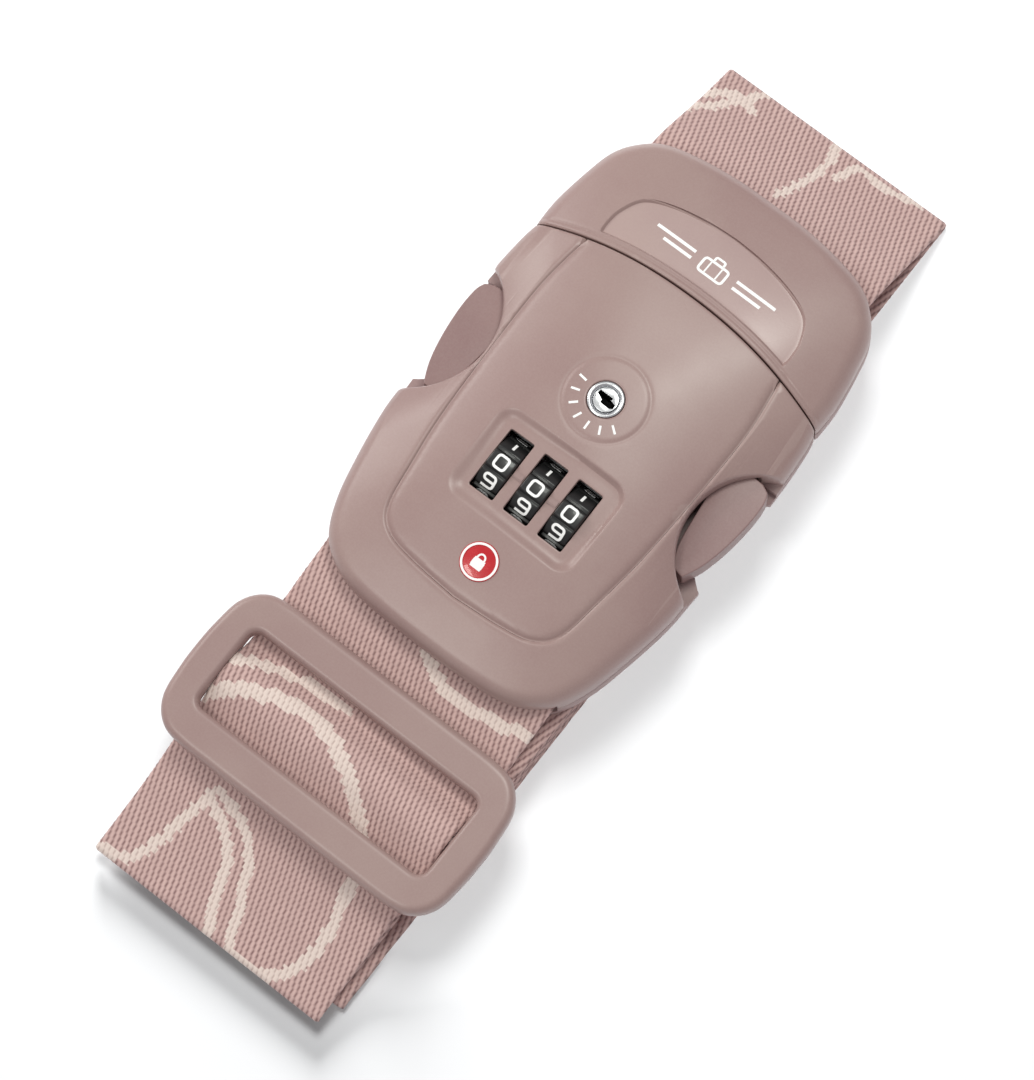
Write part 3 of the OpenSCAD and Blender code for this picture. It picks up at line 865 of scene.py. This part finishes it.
def panel_surface(p):
    """Top of the inset panel: crown, dial tray, faint ring round the key."""
    z = crown(p) - tray_depth(p)
    from_key = np.hypot(p[:, 0], p[:, 1] - KEY_Y)
    z += 0.09 * step_down(KEY_DISC_R - from_key, 0.8)
    z -= 0.07 * np.exp(-((from_key - KEY_DISC_R - 0.2) / 0.35) ** 2)
    return z


def groove(d):
    """Soft groove between the shell and the inset panel, at distance d from its middle."""
    return 0.42 * np.exp(-(d / 0.42) ** 2)


def cover_panel():
    """Inset panel with the dial windows and the key hole."""
    panel_edge = both_sides(panel_side)
    seam_line = seam_points(-PANEL_TOP_X, PANEL_TOP_X, -0.02)
    right = np.concatenate([offset_line(panel_side, -0.14)[:-1], seam_points(PANEL_TOP_X, 0.02, -0.02)])
    right[0, 0] = 0.02
    path = mirrored(right)
    windows = [rounded_box(DIAL_W / 2 + 0.14, 6.18, 0.35, 0.6, (i * DIAL_PITCH, 0)) for i in (-1, 0, 1)]
    key_hole = circle(0, KEY_Y, KEY_R + 0.06)

    def height(p):
        z = panel_surface(p) - groove(distance_to(p, panel_edge))
        z -= rounding(distance_to(p, seam_line), 0.4)
        for window in windows:
            z -= rounding(distance_to(p, window, True), 0.22)
        return z - rounding(distance_to(p, key_hole, True), 0.3)

    obj = plate("lock_cover_plate", path, height, lambda p: crown(p) - 1.5, MAUVE,
                lines=[loop_line(DIAL_TRAY), loop_line(KEY_DISC)], holes=windows + [key_hole],
                rings=(0.1, 0.22, 0.4, 0.6), step=0.8)
    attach(obj, "lock_half")
    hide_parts("lock_cover_panel")


NAME_OUTLINE = mirrored(np.concatenate([seam_points(0.02, 20.6, 2.05), curve_through(NAME_SIDE)]))
BEAD_SHIFT = 1.15


def plug_surface(p):
    """Top of the plug half: crown, a fine line above the seam, and the shallow name field."""
    z = crown(p) - edge_fall(p, 2.6) - 0.62 * step_down(depth_inside(p, NAME_OUTLINE), 0.55)
    above = p[:, 1] - seam_at(p[:, 0]) - SEAM_GAP
    return z - 0.16 * np.exp(-((above - BEAD_SHIFT) / 0.28) ** 2)


def plug_top():
    """Cover of the plug half, with its name field in a more polished plastic whose lighter colour is a
    painted highlight.
    """
    right = np.concatenate([seam_points(0.02, SEAM_END_X, SEAM_GAP + 0.02), plug_side])
    bead = seam_points(-31, 31, SEAM_GAP + BEAD_SHIFT)
    obj = plate("plug_top_cover", mirrored(right), plug_surface, flat_at(SHELL_FLOOR_Z), MAUVE,
                lines=[loop_line(NAME_OUTLINE), bead])
    keep_common(obj, "plug_cover")
    # The name field takes the lighter mauve, which is a painted highlight.
    obj.data.materials.append(MAUVE_POLISHED_HIGHLIGHT)
    flat = np.array([(poly.center[0] / MM, poly.center[1] / MM - AXLE_Y) for poly in obj.data.polygons])
    up = np.array([poly.normal[2] > 0.5 for poly in obj.data.polygons])
    for poly, hit in zip(obj.data.polygons, inside(flat, offset_line(NAME_OUTLINE, 0.5, True)) & up):
        poly.material_index = int(hit)
    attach(obj, "plug_half")
    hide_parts("plug_cover")


# ---- printed marks ----

INK_T = 0.03
MOTIF_Y = 51.6


def on_surface(surface):
    """Places a drawn line on a surface."""
    return lambda u, v, h: (u, v, surface(np.array([[u, v]]))[0] + h)


def straight(start, end, count):
    return np.linspace(start, end, count)


def name_motif():
    """Generic mark in the name field: a small suitcase between two pairs of bars."""
    y = MOTIF_Y
    lines = []
    for side in (-1, 1):
        for far, rise in ((13.2, 0.75), (10.8, -0.75)):
            lines.append((straight((4.6 * side, y + rise), (far * side, y + rise), 12), 0.62, False))
    case = [(-2.6, y - 1.7), (2.6, y - 1.7), (2.6, y + 1.2), (-2.6, y + 1.2)]
    handle = [(-1.0, y + 1.3), (-1.0, y + 2.3), (1.0, y + 2.3), (1.0, y + 1.3)]
    lines += [(rounded_path(case, 0.7, True), 0.5, True), (rounded_path(handle, 0.4), 0.45, False)]
    lines += [(straight((x, y - 1.6), (x, y + 1.1), 6), 0.3, False) for x in (-1.2, 1.2)]
    obj = new_object("name_field_mark", *raised(lines, on_surface(plug_surface), INK_T), PRINT_WHITE)
    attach(obj, "plug_half")


def key_ticks():
    """Generic tick scale round the lower side of the key."""
    lines = []
    for out in on_circle(0, 0, 1, np.radians(np.linspace(172, 322, 7))):
        lines.append((straight(4.9 * out, 6.6 * out, 5) + [0, KEY_Y], 0.42, False))
    obj = new_object("key_scale_mark", *raised(lines, on_surface(panel_surface), INK_T), PRINT_WHITE)
    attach(obj, "lock_half")


NUB_TIERS = ((1.5, 0.1), (1.2, 0.2), (0.8, 0.28))


def index_nubs():
    """Low raised nubs between the dials, on the reading line; each tier has a width and a height."""
    for k, x in enumerate((-DIAL_PITCH / 2, DIAL_PITCH / 2)):
        at = straight((x - 0.95, 0), (x + 0.95, 0), 9)
        tiers = [raised([(at, width, False)], on_surface(panel_surface), rise) for width, rise in NUB_TIERS]
        # The nubs take the darker mauve, which is painted shade.
        obj = new_object(f"index_nub_{k + 1}", *joined(tiers), MAUVE_SHADED)
        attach(obj, "lock_half")


def surface_tilt(y):
    """Turn that lays a piece flat on the crown at the middle line."""
    slope = (crown(np.array([[0, y + 0.5]])) - crown(np.array([[0, y - 0.5]])))[0]
    return Matrix.Rotation(math.atan(slope), 3, "X")


BADGE_RIM_H = 0.24
BADGE_FIELD_R = BADGE_R - 0.85


def badge_dome(radius):
    """Height of the badge's domed field over the crown."""
    return 0.16 + 0.12 * max(0, 1 - (radius / BADGE_FIELD_R) ** 2)


def badge():
    """Round red badge with a white rim and a white padlock."""
    z = crown(np.array([[0, BADGE_Y]]))[0]
    turn = surface_tilt(BADGE_Y)
    r = BADGE_R
    profile = [(0.0, -0.5), (r - 0.1, -0.5), (r - 0.1, 0.1), (r - 0.2, 0.22), (r - 0.75, BADGE_RIM_H)]
    profile += [(radius, badge_dome(radius)) for radius in (BADGE_FIELD_R, 2.3, 1.6, 0.8, 0.0)]
    obj = lathe("badge_disc", profile, (0, BADGE_Y, z), BADGE_RED, turn)
    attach(obj, "lock_half")
    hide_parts("badge")

    def place(u, v, h):
        radius = math.hypot(u, v)
        base = BADGE_RIM_H if radius > BADGE_FIELD_R - 0.1 else badge_dome(radius)
        p = turn @ Vector((u, v, base + h))
        return (p[0], p[1] + BADGE_Y, p[2] + z)

    lines = [(circle(0, 0, r - 0.48, 96), 0.42, True)]
    for k, half_w in enumerate((1.1, 1.18, 1.18, 1.18, 1.1)):
        y = -1.25 + 0.38 * k
        lines.append((straight((-half_w, y), (half_w, y), 8), 0.4, False))
    bow = [(0.72 * math.cos(t), 0.62 + 0.78 * math.sin(t)) for t in np.linspace(0, math.pi, 16)]
    lines.append((np.array([(0.72, 0.35), *bow, (-0.72, 0.35)]), 0.34, False))
    mark = new_object("badge_padlock", *raised(lines, place, 0.025), PRINT_WHITE)
    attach(mark, "lock_half")


# ---- dials ----

# A digit's corners, from top left to bottom right.
TL, TR, ML, MR, BL, BR = (0, 2), (1, 2), (0, 1), (1, 1), (0, 0), (1, 0)
DIGITS = {
    0: [([TL, TR, BR, BL], True)],
    1: [([(0.5, 1.75), (0.5, 0.4)], False)],
    2: [([TL, TR, MR, ML, BL, BR], False)],
    3: [([TL, TR, MR, BR, BL], False), ([(0.3, 1), (1, 1)], False)],
    4: [([TL, ML, MR], False), ([TR, BR], False)],
    5: [([TR, TL, ML, MR, BR, BL], False)],
    6: [([TR, TL, BL, BR, MR, ML], False)],
    7: [([TL, TR, (0.5, 0)], False)],
    8: [([TL, TR, BR, BL], True), ([ML, MR], False)],
    9: [([BL, BR, TR, TL, ML, MR], False)],
}
DIGIT_W = 2.3
DIGIT_H = 2.45
DIGIT_STROKE = 0.5
DIGIT_STEP = math.radians(36)
FLAT_ANGLE = math.radians(15)
NOTCH_ANGLE = math.radians(3)
NOTCH_DEPTH = 0.42
DIAL_BORE_R = 3.6


def dial_profile(angle):
    """Radius of a dial at an angle: ten number flats with a grip notch between each two."""
    off = abs((angle + DIGIT_STEP / 2) % DIGIT_STEP - DIGIT_STEP / 2)
    notch = NOTCH_DEPTH * math.exp(-((DIGIT_STEP / 2 - off) / NOTCH_ANGLE) ** 2)
    flat = DIAL_R * (math.cos(FLAT_ANGLE) / math.cos(min(off, FLAT_ANGLE)))
    return 0.35 * flat + 0.65 * DIAL_R - notch


def digit_lines(parts):
    """Strokes of a digit, laid out flat in millimetres about its middle."""
    for points, closed in parts:
        at = [((px - 0.5) * DIGIT_W, (py - 1) * DIGIT_H / 2) for px, py in points]
        yield curve_fill(rounded_path(at, 0.7, closed), closed), DIGIT_STROKE, closed


def dial(side, x):
    """One number dial with its ten digits."""
    steps = 240
    w = DIAL_W / 2
    rim = [(w, -0.35), (w - 0.12, -0.1), (w - 0.4, 0.0)]
    rim = [(-sx, drop) for sx, drop in rim] + [(0.0, 0.03)] + rim[::-1]
    verts = []
    for k in range(steps):
        a = 2 * math.pi * k / steps
        outer = dial_profile(a)
        section = [(-w + 0.05, DIAL_BORE_R - 0.15), (-w, DIAL_BORE_R)]
        section += [(sx, outer + drop) for sx, drop in rim]
        section += [(w, DIAL_BORE_R), (w - 0.05, DIAL_BORE_R - 0.15)]
        verts += [(x + sx, radius * math.sin(a), AXLE_Z + radius * math.cos(a)) for sx, radius in section]
    wheel = new_object(f"dial_{side}_wheel", verts, round_faces(steps, len(section)), DIAL_BLACK)
    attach(wheel, f"dial_{side}_wheel")
    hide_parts(f"dial_{side}")

    def around(center):
        def place(u, v, h):
            angle = center + v / DIAL_R
            radius = dial_profile(angle) + INK_T + h
            return (x + u, radius * math.sin(angle), AXLE_Z + radius * math.cos(angle))
        return place

    ink = [raised(digit_lines(parts), around(digit * DIGIT_STEP), INK_T) for digit, parts in DIGITS.items()]
    digits = new_object(f"dial_{side}_digits", *joined(ink), PRINT_WHITE)
    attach(digits, f"dial_{side}_wheel")


# ---- key lock ----

KEY_BORE_R = 2.36
KEYWAY_R = 2.1


def key_lock():
    """Ring round the key plug, and the plug with its keyway walls painted near-black as shade."""
    top, r, bore = KEY_TOP, KEY_R, KEY_BORE_R
    profile = [(bore, top - 9), (r - 0.02, top - 9), (r - 0.02, top - 0.35), (r - 0.1, top - 0.12),
               (r - 0.32, top), (bore + 0.55, top), (bore + 0.3, top - 0.12), (bore + 0.08, top - 0.42),
               (bore, top - 0.6)]
    ring = lathe("key_ring", profile, (0, KEY_Y, 0), CHROME)
    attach(ring, "lock_half")
    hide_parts("key_cylinder")
    plug = copy_of("key_plug", "key_barrel_face", CHROME, "key_barrel", 0.06)
    plug.data.materials.append(KEYWAY_SHADE)
    # Faces inside the keyway take the near-black, which is painted shade on chrome walls.
    for poly in plug.data.polygons:
        x, y, z = poly.center / MM
        if math.hypot(x, y - KEY_Y - AXLE_Y) < KEYWAY_R and top - 5.2 < z < top - 0.42:
            poly.material_index = 1


# ---- adjuster ----

SLOT_HALF_L = 8.6


def adjuster():
    """Tri-glide frame with bowed ends and rounded bars."""
    hw, hl = FRAME_HALF_W, FRAME_HALF_L - 0.05
    upper = [(hw - 0.2, 5), (hw - 1.1, hl - 5.2), (hw - 3.9, hl - 1.5), (24, hl - 0.15), (14, hl), (0.02, hl)]
    side = [(x, -y) for x, y in upper[::-1]] + [(hw, 0)] + upper
    outline = mirrored(curve_through([(x, y + FRAME_Y) for x, y in side]))
    slot = rounded_box(WEB_W / 2 + 0.7, SLOT_HALF_L, 2.0, 0.5, (0, FRAME_Y))

    def height(p):
        d_out, d_in = distance_to(p, outline, True), distance_to(p, slot, True)
        return FRAME_HIGH_Z - 0.02 - rounding(d_out, 1.5) - rounding(d_in, 1.1)

    obj = plate("adjuster_body", outline, height, flat_at(FRAME_LOW_Z + 0.02), MAUVE, holes=[slot],
                rings=(0.1, 0.25, 0.45, 0.7, 1.0, 1.4, 1.8), bottom_round=0.6)
    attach(obj, "adjuster")
    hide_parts("adjuster_frame")


# ---- webbing ----

# Cream lines of the jacquard as (across, along) points, each with the line's width.
LINES = [
    ([(-26, -96), (-19.5, -94), (-16.8, -88), (-15.6, -82), (-14, -76)], 2.0),
    ([(-14, -77), (-8, -80), (-4.2, -85), (-2, -91), (0.5, -97)], 2.0),
    ([(-13, -75), (-6.5, -77), (-2, -81), (1.5, -88), (5.5, -97)], 1.9),
    ([(5.5, -97), (12.5, -95.8), (16.8, -91), (17.6, -83), (15.5, -73)], 2.3),
    ([(-26, -56), (-21, -53.4), (-16, -51.6), (-11, -50.6), (-4, -50)], 2.1),
    ([(-26, -63.5), (-21, -59), (-15, -56.6), (-9, -55.4), (-3, -56), (2.5, -58.4), (8, -62), (14, -68)],
     2.6),
    ([(1, -33.5), (7.5, -36.4), (14, -36.4), (20, -35.4), (26, -34)], 2.3),
    ([(-26, 76), (-22, 80.5), (-18.5, 86), (-15, 91)], 1.7),
    ([(-26, 80), (-23, 83.5), (-19.5, 85.5), (-16.5, 84.2)], 1.7),
    ([(-1.5, 72), (0.4, 79), (0.8, 85), (-1, 92)], 1.7),
    ([(4, 83), (5.6, 87.6), (9, 87.6), (14, 87.8), (20, 90), (26, 93)], 1.7),
]
HANK_LINES = [
    ([(-26, 10), (-14, 2), (2, 6), (14, 24), (12, 44), (-4, 56), (-16, 66)], 2.0),
    ([(26, -20), (12, -12), (4, 10), (-2, 30), (4, 50), (18, 60), (26, 62)], 2.0),
    ([(-26, -40), (-12, -30), (4, -38), (10, -56), (4, -74), (-8, -84), (-26, -90)], 2.0),
]
LINES = [(curve_through(points, 1.5), width) for points, width in LINES]
HANK_LINES = [(curve_through(points, 1.5), width) for points, width in HANK_LINES]


def along(path):
    """Length along a path at each of its points."""
    return np.concatenate([[0], np.cumsum(np.linalg.norm(np.diff(path, axis=0), axis=1))])


def line_mask(u, w, lines):
    """1 where a cell of the weave belongs to a cream line; cells follow the twill, which steps the edges."""
    block = np.floor(TWILL_ACROSS * u + TWILL_ALONG * w) + 0.5
    row = (np.floor(ROWS_PER_MM * w) + 0.5) / ROWS_PER_MM
    stitch = np.column_stack([(block - TWILL_ALONG * row) / TWILL_ACROSS, row])
    p = 0.35 * np.column_stack([u, w]) + 0.65 * stitch
    mask = np.zeros(len(p))
    for line, width in lines:
        near = np.all((p > line.min(0) - 3) & (p < line.max(0) + 3), axis=1)
        if near.any():
            mask[near] = np.maximum(mask[near], distance_to(p[near], line) < width / 2)
    return mask


SELVEDGE = 0.35


def add_jacquard(mesh, us, path, lines, ring):
    """Face attribute that picks the cells of the cream lines; the end caps have none."""
    mid = (us[:-1] + us[1:]) / 2
    cell_u = np.tile(np.concatenate([mid, [us[-1]], mid[::-1], [us[0]]]), len(path) - 1)
    cell_y = np.repeat((path[:-1, 0] + path[1:, 0]) / 2, ring)
    mask = np.zeros(len(mesh.polygons))
    mask[:len(cell_u)] = line_mask(cell_u, cell_y, lines)
    mesh.attributes.new("line", "FLOAT", "FACE").data.foreach_set("value", mask)


def add_strap_uv(mesh, us, s, ring):
    """UV map by place across and length along the strap, which the weave follows."""
    corner = np.zeros(len(mesh.loops), int)
    mesh.loops.foreach_get("vertex_index", corner)
    place = np.column_stack([np.tile(np.concatenate([us, us[::-1]]), len(s)), np.repeat(s, ring)])
    mesh.uv_layers.new(name="strap").data.foreach_set("uv", (place[corner] / UV_MM).ravel())


def strap(name, path, body, lines, cell=0.5, slip=0.0, part=(0, None), width=WEB_W):
    """Ribbon of webbing along a path in Y and Z, with rolled selvedges and its jacquard mask.

    slip moves it sideways, by one number or one for each point; part is the stretch of the path to keep.
    """
    s = along(path)
    cut = slice(*part)
    normal, shift = sideways(path)[cut], np.broadcast_to(slip, len(s))[cut]
    path, s = path[cut], s[cut]
    count = int(width / cell)
    us = np.linspace(-width / 2, width / 2, count + 1)
    fall = np.clip((np.abs(us) - (width / 2 - SELVEDGE)) / SELVEDGE, 0, 1)
    thick = WEB_T / 2 * np.sqrt(1 - 0.9 * fall ** 2)
    across = us + shift[:, None] + 0.05 * np.sin(s * 6.4)[:, None] * fall
    top, under = (np.dstack([across, path[:, None] + rise[:, None] * normal[:, None]])
                  for rise in (thick, -thick))
    verts = np.concatenate([top, under[:, ::-1]], axis=1).reshape(-1, 3)
    verts[:, 2] = np.maximum(verts[:, 2], 0.0)
    ring = 2 * (count + 1)
    last = (len(path) - 1) * ring
    faces = round_faces(len(path), ring)[:-ring]
    for c in range(count):
        faces.append((c + 1, c, ring - 1 - c, ring - 2 - c))
        faces.append((last + c, last + c + 1, last + ring - 2 - c, last + ring - 1 - c))
    mesh = new_mesh(name, verts, faces)
    add_jacquard(mesh, us, path, lines, ring)
    add_strap_uv(mesh, us, s, ring)
    mesh.materials.append(WEBBING)
    for poly in mesh.polygons:
        poly.use_smooth = True
    mesh.update()
    ends = {frozenset((end + c, end + (c + 1) % ring)) for end in (0, last) for c in range(ring)}
    for line in mesh.edges:
        line.use_edge_sharp = frozenset(line.vertices) in ends
    obj = linked_object(name, mesh)
    if body:
        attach(obj, body)
    return obj


def layer_z(k):
    """Middle height of the hank's layer k, counted from 1 at the floor."""
    return WEB_T / 2 + (0.1 if k > 1 else 0) + (k - 1) * LAYER_PITCH


TURN_R = LAYER_PITCH / 2
TURN_CAP = TURN_R + WEB_T / 2
FOLD_Z = layer_z(3) + 0.05
LOOP_END_Y = 12.0
SECOND_FOLD_Y = BOTTOM_Y + 4.6
INNER_TOP = 60.0
INNER_BOTTOM = -66.0
SEEN_STEP = 0.9
HIDDEN_STEP = 2.5
HANK_SLIP = 2.2
SLIP_RAMP = 60


def turn(y, k, side):
    """Half round from the hank's layer k to the next, in six points."""
    z0, z1 = layer_z(k), layer_z(k + 1)
    half_round = on_circle(0, (z0 + z1) / 2, (z1 - z0) / 2, np.radians(np.linspace(-90, 90, 6)))
    return list(half_round * [side, 1] + [y, 0])


BAR_R = 1.45
WRAP_R = BAR_R + WEB_T / 2 + 0.05


def arc(y, z, a0, a1, steps):
    """Points round a strap bar, by angle in degrees."""
    return list(on_circle(y, z, WRAP_R, np.radians(np.linspace(a0, a1, steps + 1))))


def front_route():
    """Bottom fold, up through the adjuster over its middle bar, and round the lock half's bar."""
    b, f, c, t = BOTTOM_Y, FRAME_Y, FRAME_BAR_Z, WEB_T / 2
    points = [(b + TURN_CAP, FOLD_Z - 0.02), (b + t + 0.05, FOLD_Z + 0.05), (b + t, FOLD_Z + TURN_R),
              (b + t + 0.05, FOLD_Z + 2 * TURN_R), (b + TURN_CAP + 0.3, FOLD_Z + 2 * TURN_R + 0.1),
              (b + 9, 4.3), (b + 17, 6.1), (f - 12, BACK_Z + 0.3), (f - 8, BACK_Z + 1.1), (f - 4.6, c),
              (f - 2.4, c + 1.05), (f, c + BAR_R), (f + 2.4, c + 1.05), (f + 4.6, c - 0.5),
              (f + 7.4, BACK_Z + 1.15), (f + 16.2, BACK_Z + 1.1), (-37, BACK_Z + 2.3), (-33.5, BACK_Z + 3.1),
              (-28, BACK_Z + 4.4), (LOCK_BAR_Y - 2.4, LOCK_BAR_Z + 1.6)]
    points += arc(LOCK_BAR_Y, LOCK_BAR_Z + 0.15, 90, 0, 6) + [(LOCK_BAR_Y + WRAP_R, LOCK_BAR_Z + 0.03)]
    return curve_through(points)


def return_route():
    """From the lock half's bar back to the underside of the adjuster's middle bar."""
    f = FRAME_Y
    points = [(LOCK_BAR_Y + WRAP_R, LOCK_BAR_Z - 0.03), *arc(LOCK_BAR_Y, LOCK_BAR_Z - 0.02, -4, -90, 6)]
    points += [(-34.2, BACK_Z + 2.02), (-38, BACK_Z + 0.95), (f + 16.6, BACK_Z + 0.2), (f + 5, BACK_Z + 0.2),
               (f + 2, BACK_Z + 0.6), (f, FRAME_BAR_Z - BAR_R)]
    return curve_through(points)


def loop_route():
    """From the plug half's bar, down to the top fold, and back along the floor."""
    y, z, t = PLUG_BAR_Y, PLUG_BAR_Z, TOP_Y
    points = [(y + 3, z - WRAP_R), *arc(y, z, 270, 90, 10), (y + 4, z + 1.3), (y + 8, z + 0.2),
              (69.2, BACK_Z + 3), (t - 16, BACK_Z + 0.4), (t - 12, 7.5), (t - 8, 5.1), (t - 4, 3.1),
              (t - 1.6, 2), (t - WEB_T / 2, 1.35), (t - WEB_T / 2, 0.75)]
    points += [(v, layer_z(1)) for v in (t - 1.5, t - 4, t - 8, *np.linspace(t - 14, LOOP_END_Y, 9))]
    return curve_through(points)


def hank_route():
    """Floor layer, second fold, the hidden folds, and the last layer down to the bottom fold."""
    points = [(LOOP_END_Y - 0.3, layer_z(1)), (SECOND_FOLD_Y + TURN_CAP, layer_z(1))]
    points += turn(SECOND_FOLD_Y + TURN_CAP, 1, -1)[1:]
    for k in range(2, LAYERS):
        up = k % 2 == 0
        points += turn(INNER_TOP if up else INNER_BOTTOM, k, 1 if up else -1)
    points += [(INNER_BOTTOM + 2, layer_z(LAYERS)), (INNER_BOTTOM - 4, layer_z(LAYERS) - 0.8),
               (BOTTOM_Y + 17, 4.4), (BOTTOM_Y + 9, 2.9), (BOTTOM_Y + TURN_CAP, FOLD_Z)]
    points = np.array(points, float)
    path = [points[0]]
    for a, b in zip(points[:-1], points[1:]):
        seen = max(a[1], b[1]) < layer_z(2) - 0.3 or min(a[1], b[1]) > layer_z(LAYERS) - 0.3
        count = max(1, int(np.linalg.norm(b - a) / (SEEN_STEP if seen else HIDDEN_STEP)))
        path += [a + (b - a) * (i + 1) / count for i in range(count)]
    return np.array(path)


def webbing():
    """The strap, in the pieces that its folds and joints ask for."""
    front = front_route()
    hump = int(np.argmin(np.abs(front[:, 0] - FRAME_Y)))
    aside = {"slip": -0.12, "width": WEB_W + 1.05}
    obj = strap("webbing_front_lower", front, None, LINES, part=(0, hump + 1), **aside)
    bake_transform(obj)
    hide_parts("webbing_front_run")
    bottom_fold.objects.link(obj)
    obj = strap("webbing_front_upper", front, None, LINES, part=(hump, None), **aside)
    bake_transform(obj)
    obj = strap("webbing_return", return_route(), None, [], 1.0)
    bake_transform(obj)
    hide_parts("webbing_return_run")
    obj = strap("webbing_loop", loop_route(), None, LINES + HANK_LINES[:2])
    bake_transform(obj)
    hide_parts("webbing_top_loop")
    hank = hank_route()
    s = along(hank)
    slip = HANK_SLIP * np.clip(np.minimum(s, s[-1] - s) / SLIP_RAMP, 0, 1)
    obj = strap("webbing_hank_folds", hank, "lock_half", HANK_LINES, 1.0, slip)
    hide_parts("webbing_hank")


# ---- building it all ----

add_camera()
add_studio()
lock_top()
cover_panel()
plug_top()
adjuster()
name_motif()
key_ticks()
index_nubs()
badge()
for at, side in enumerate(("left", "middle", "right")):
    dial(side, (at - 1) * DIAL_PITCH)
    copy_of(f"dial_hub_{side}", f"dial_{side}_hub", NYLON, f"dial_{side}_wheel", 0.1)
key_lock()
copy_of("lock_back_shell", "lock_back_cover", MAUVE_BACK, "lock_half", 0.25)
copy_of("plug_base", "plug_back_cover", MAUVE_BACK, "plug_half", 0.25)
# The arms take the darker mauve, which is painted shade.
copy_of("left_release_arm", "left_arm_moulding", MAUVE_SHADED, "left_arm", 0.6, 4)
copy_of("right_release_arm", "right_arm_moulding", MAUVE_SHADED, "right_arm", 0.6, 4)
for node, body in (("lock_strap_bar", "lock_half"), ("plug_strap_bar", "plug_half"),
                   ("lock_screws", "lock_half"), ("plug_screws", "plug_half"), ("arm_pins", "plug_half")):
    copy_of(node, node + "_part", STEEL, body, 0.08)
copy_of("adjuster_bar", "adjuster_middle_bar", MAUVE_BACK, "adjuster", 0.1)
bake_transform(copy_of("reset_spring", "reset_button_spring", STEEL, None), "lock_half", "reset",
         start=(0, 0, (BACK_Z + SPLIT_H) * MM), end=(0, 0, high("reset_button")[2] * MM))
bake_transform(copy_of("slider_spring", "slider_return_spring", STEEL, None), "lock_half", "slider",
         start=(0, (low("slider_spring")[1] - 0.14) * MM, 0), end=(0, low("locking_slider")[1] * MM, 0))
for node in ("dial_axle", "detent_spring", "key_cam", "locking_slider", "arm_springs"):
    for material_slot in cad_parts[node].material_slots:
        material_slot.material = STEEL
for material_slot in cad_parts["reset_button"].material_slots:
    material_slot.material = MAUVE_BACK
webbing()
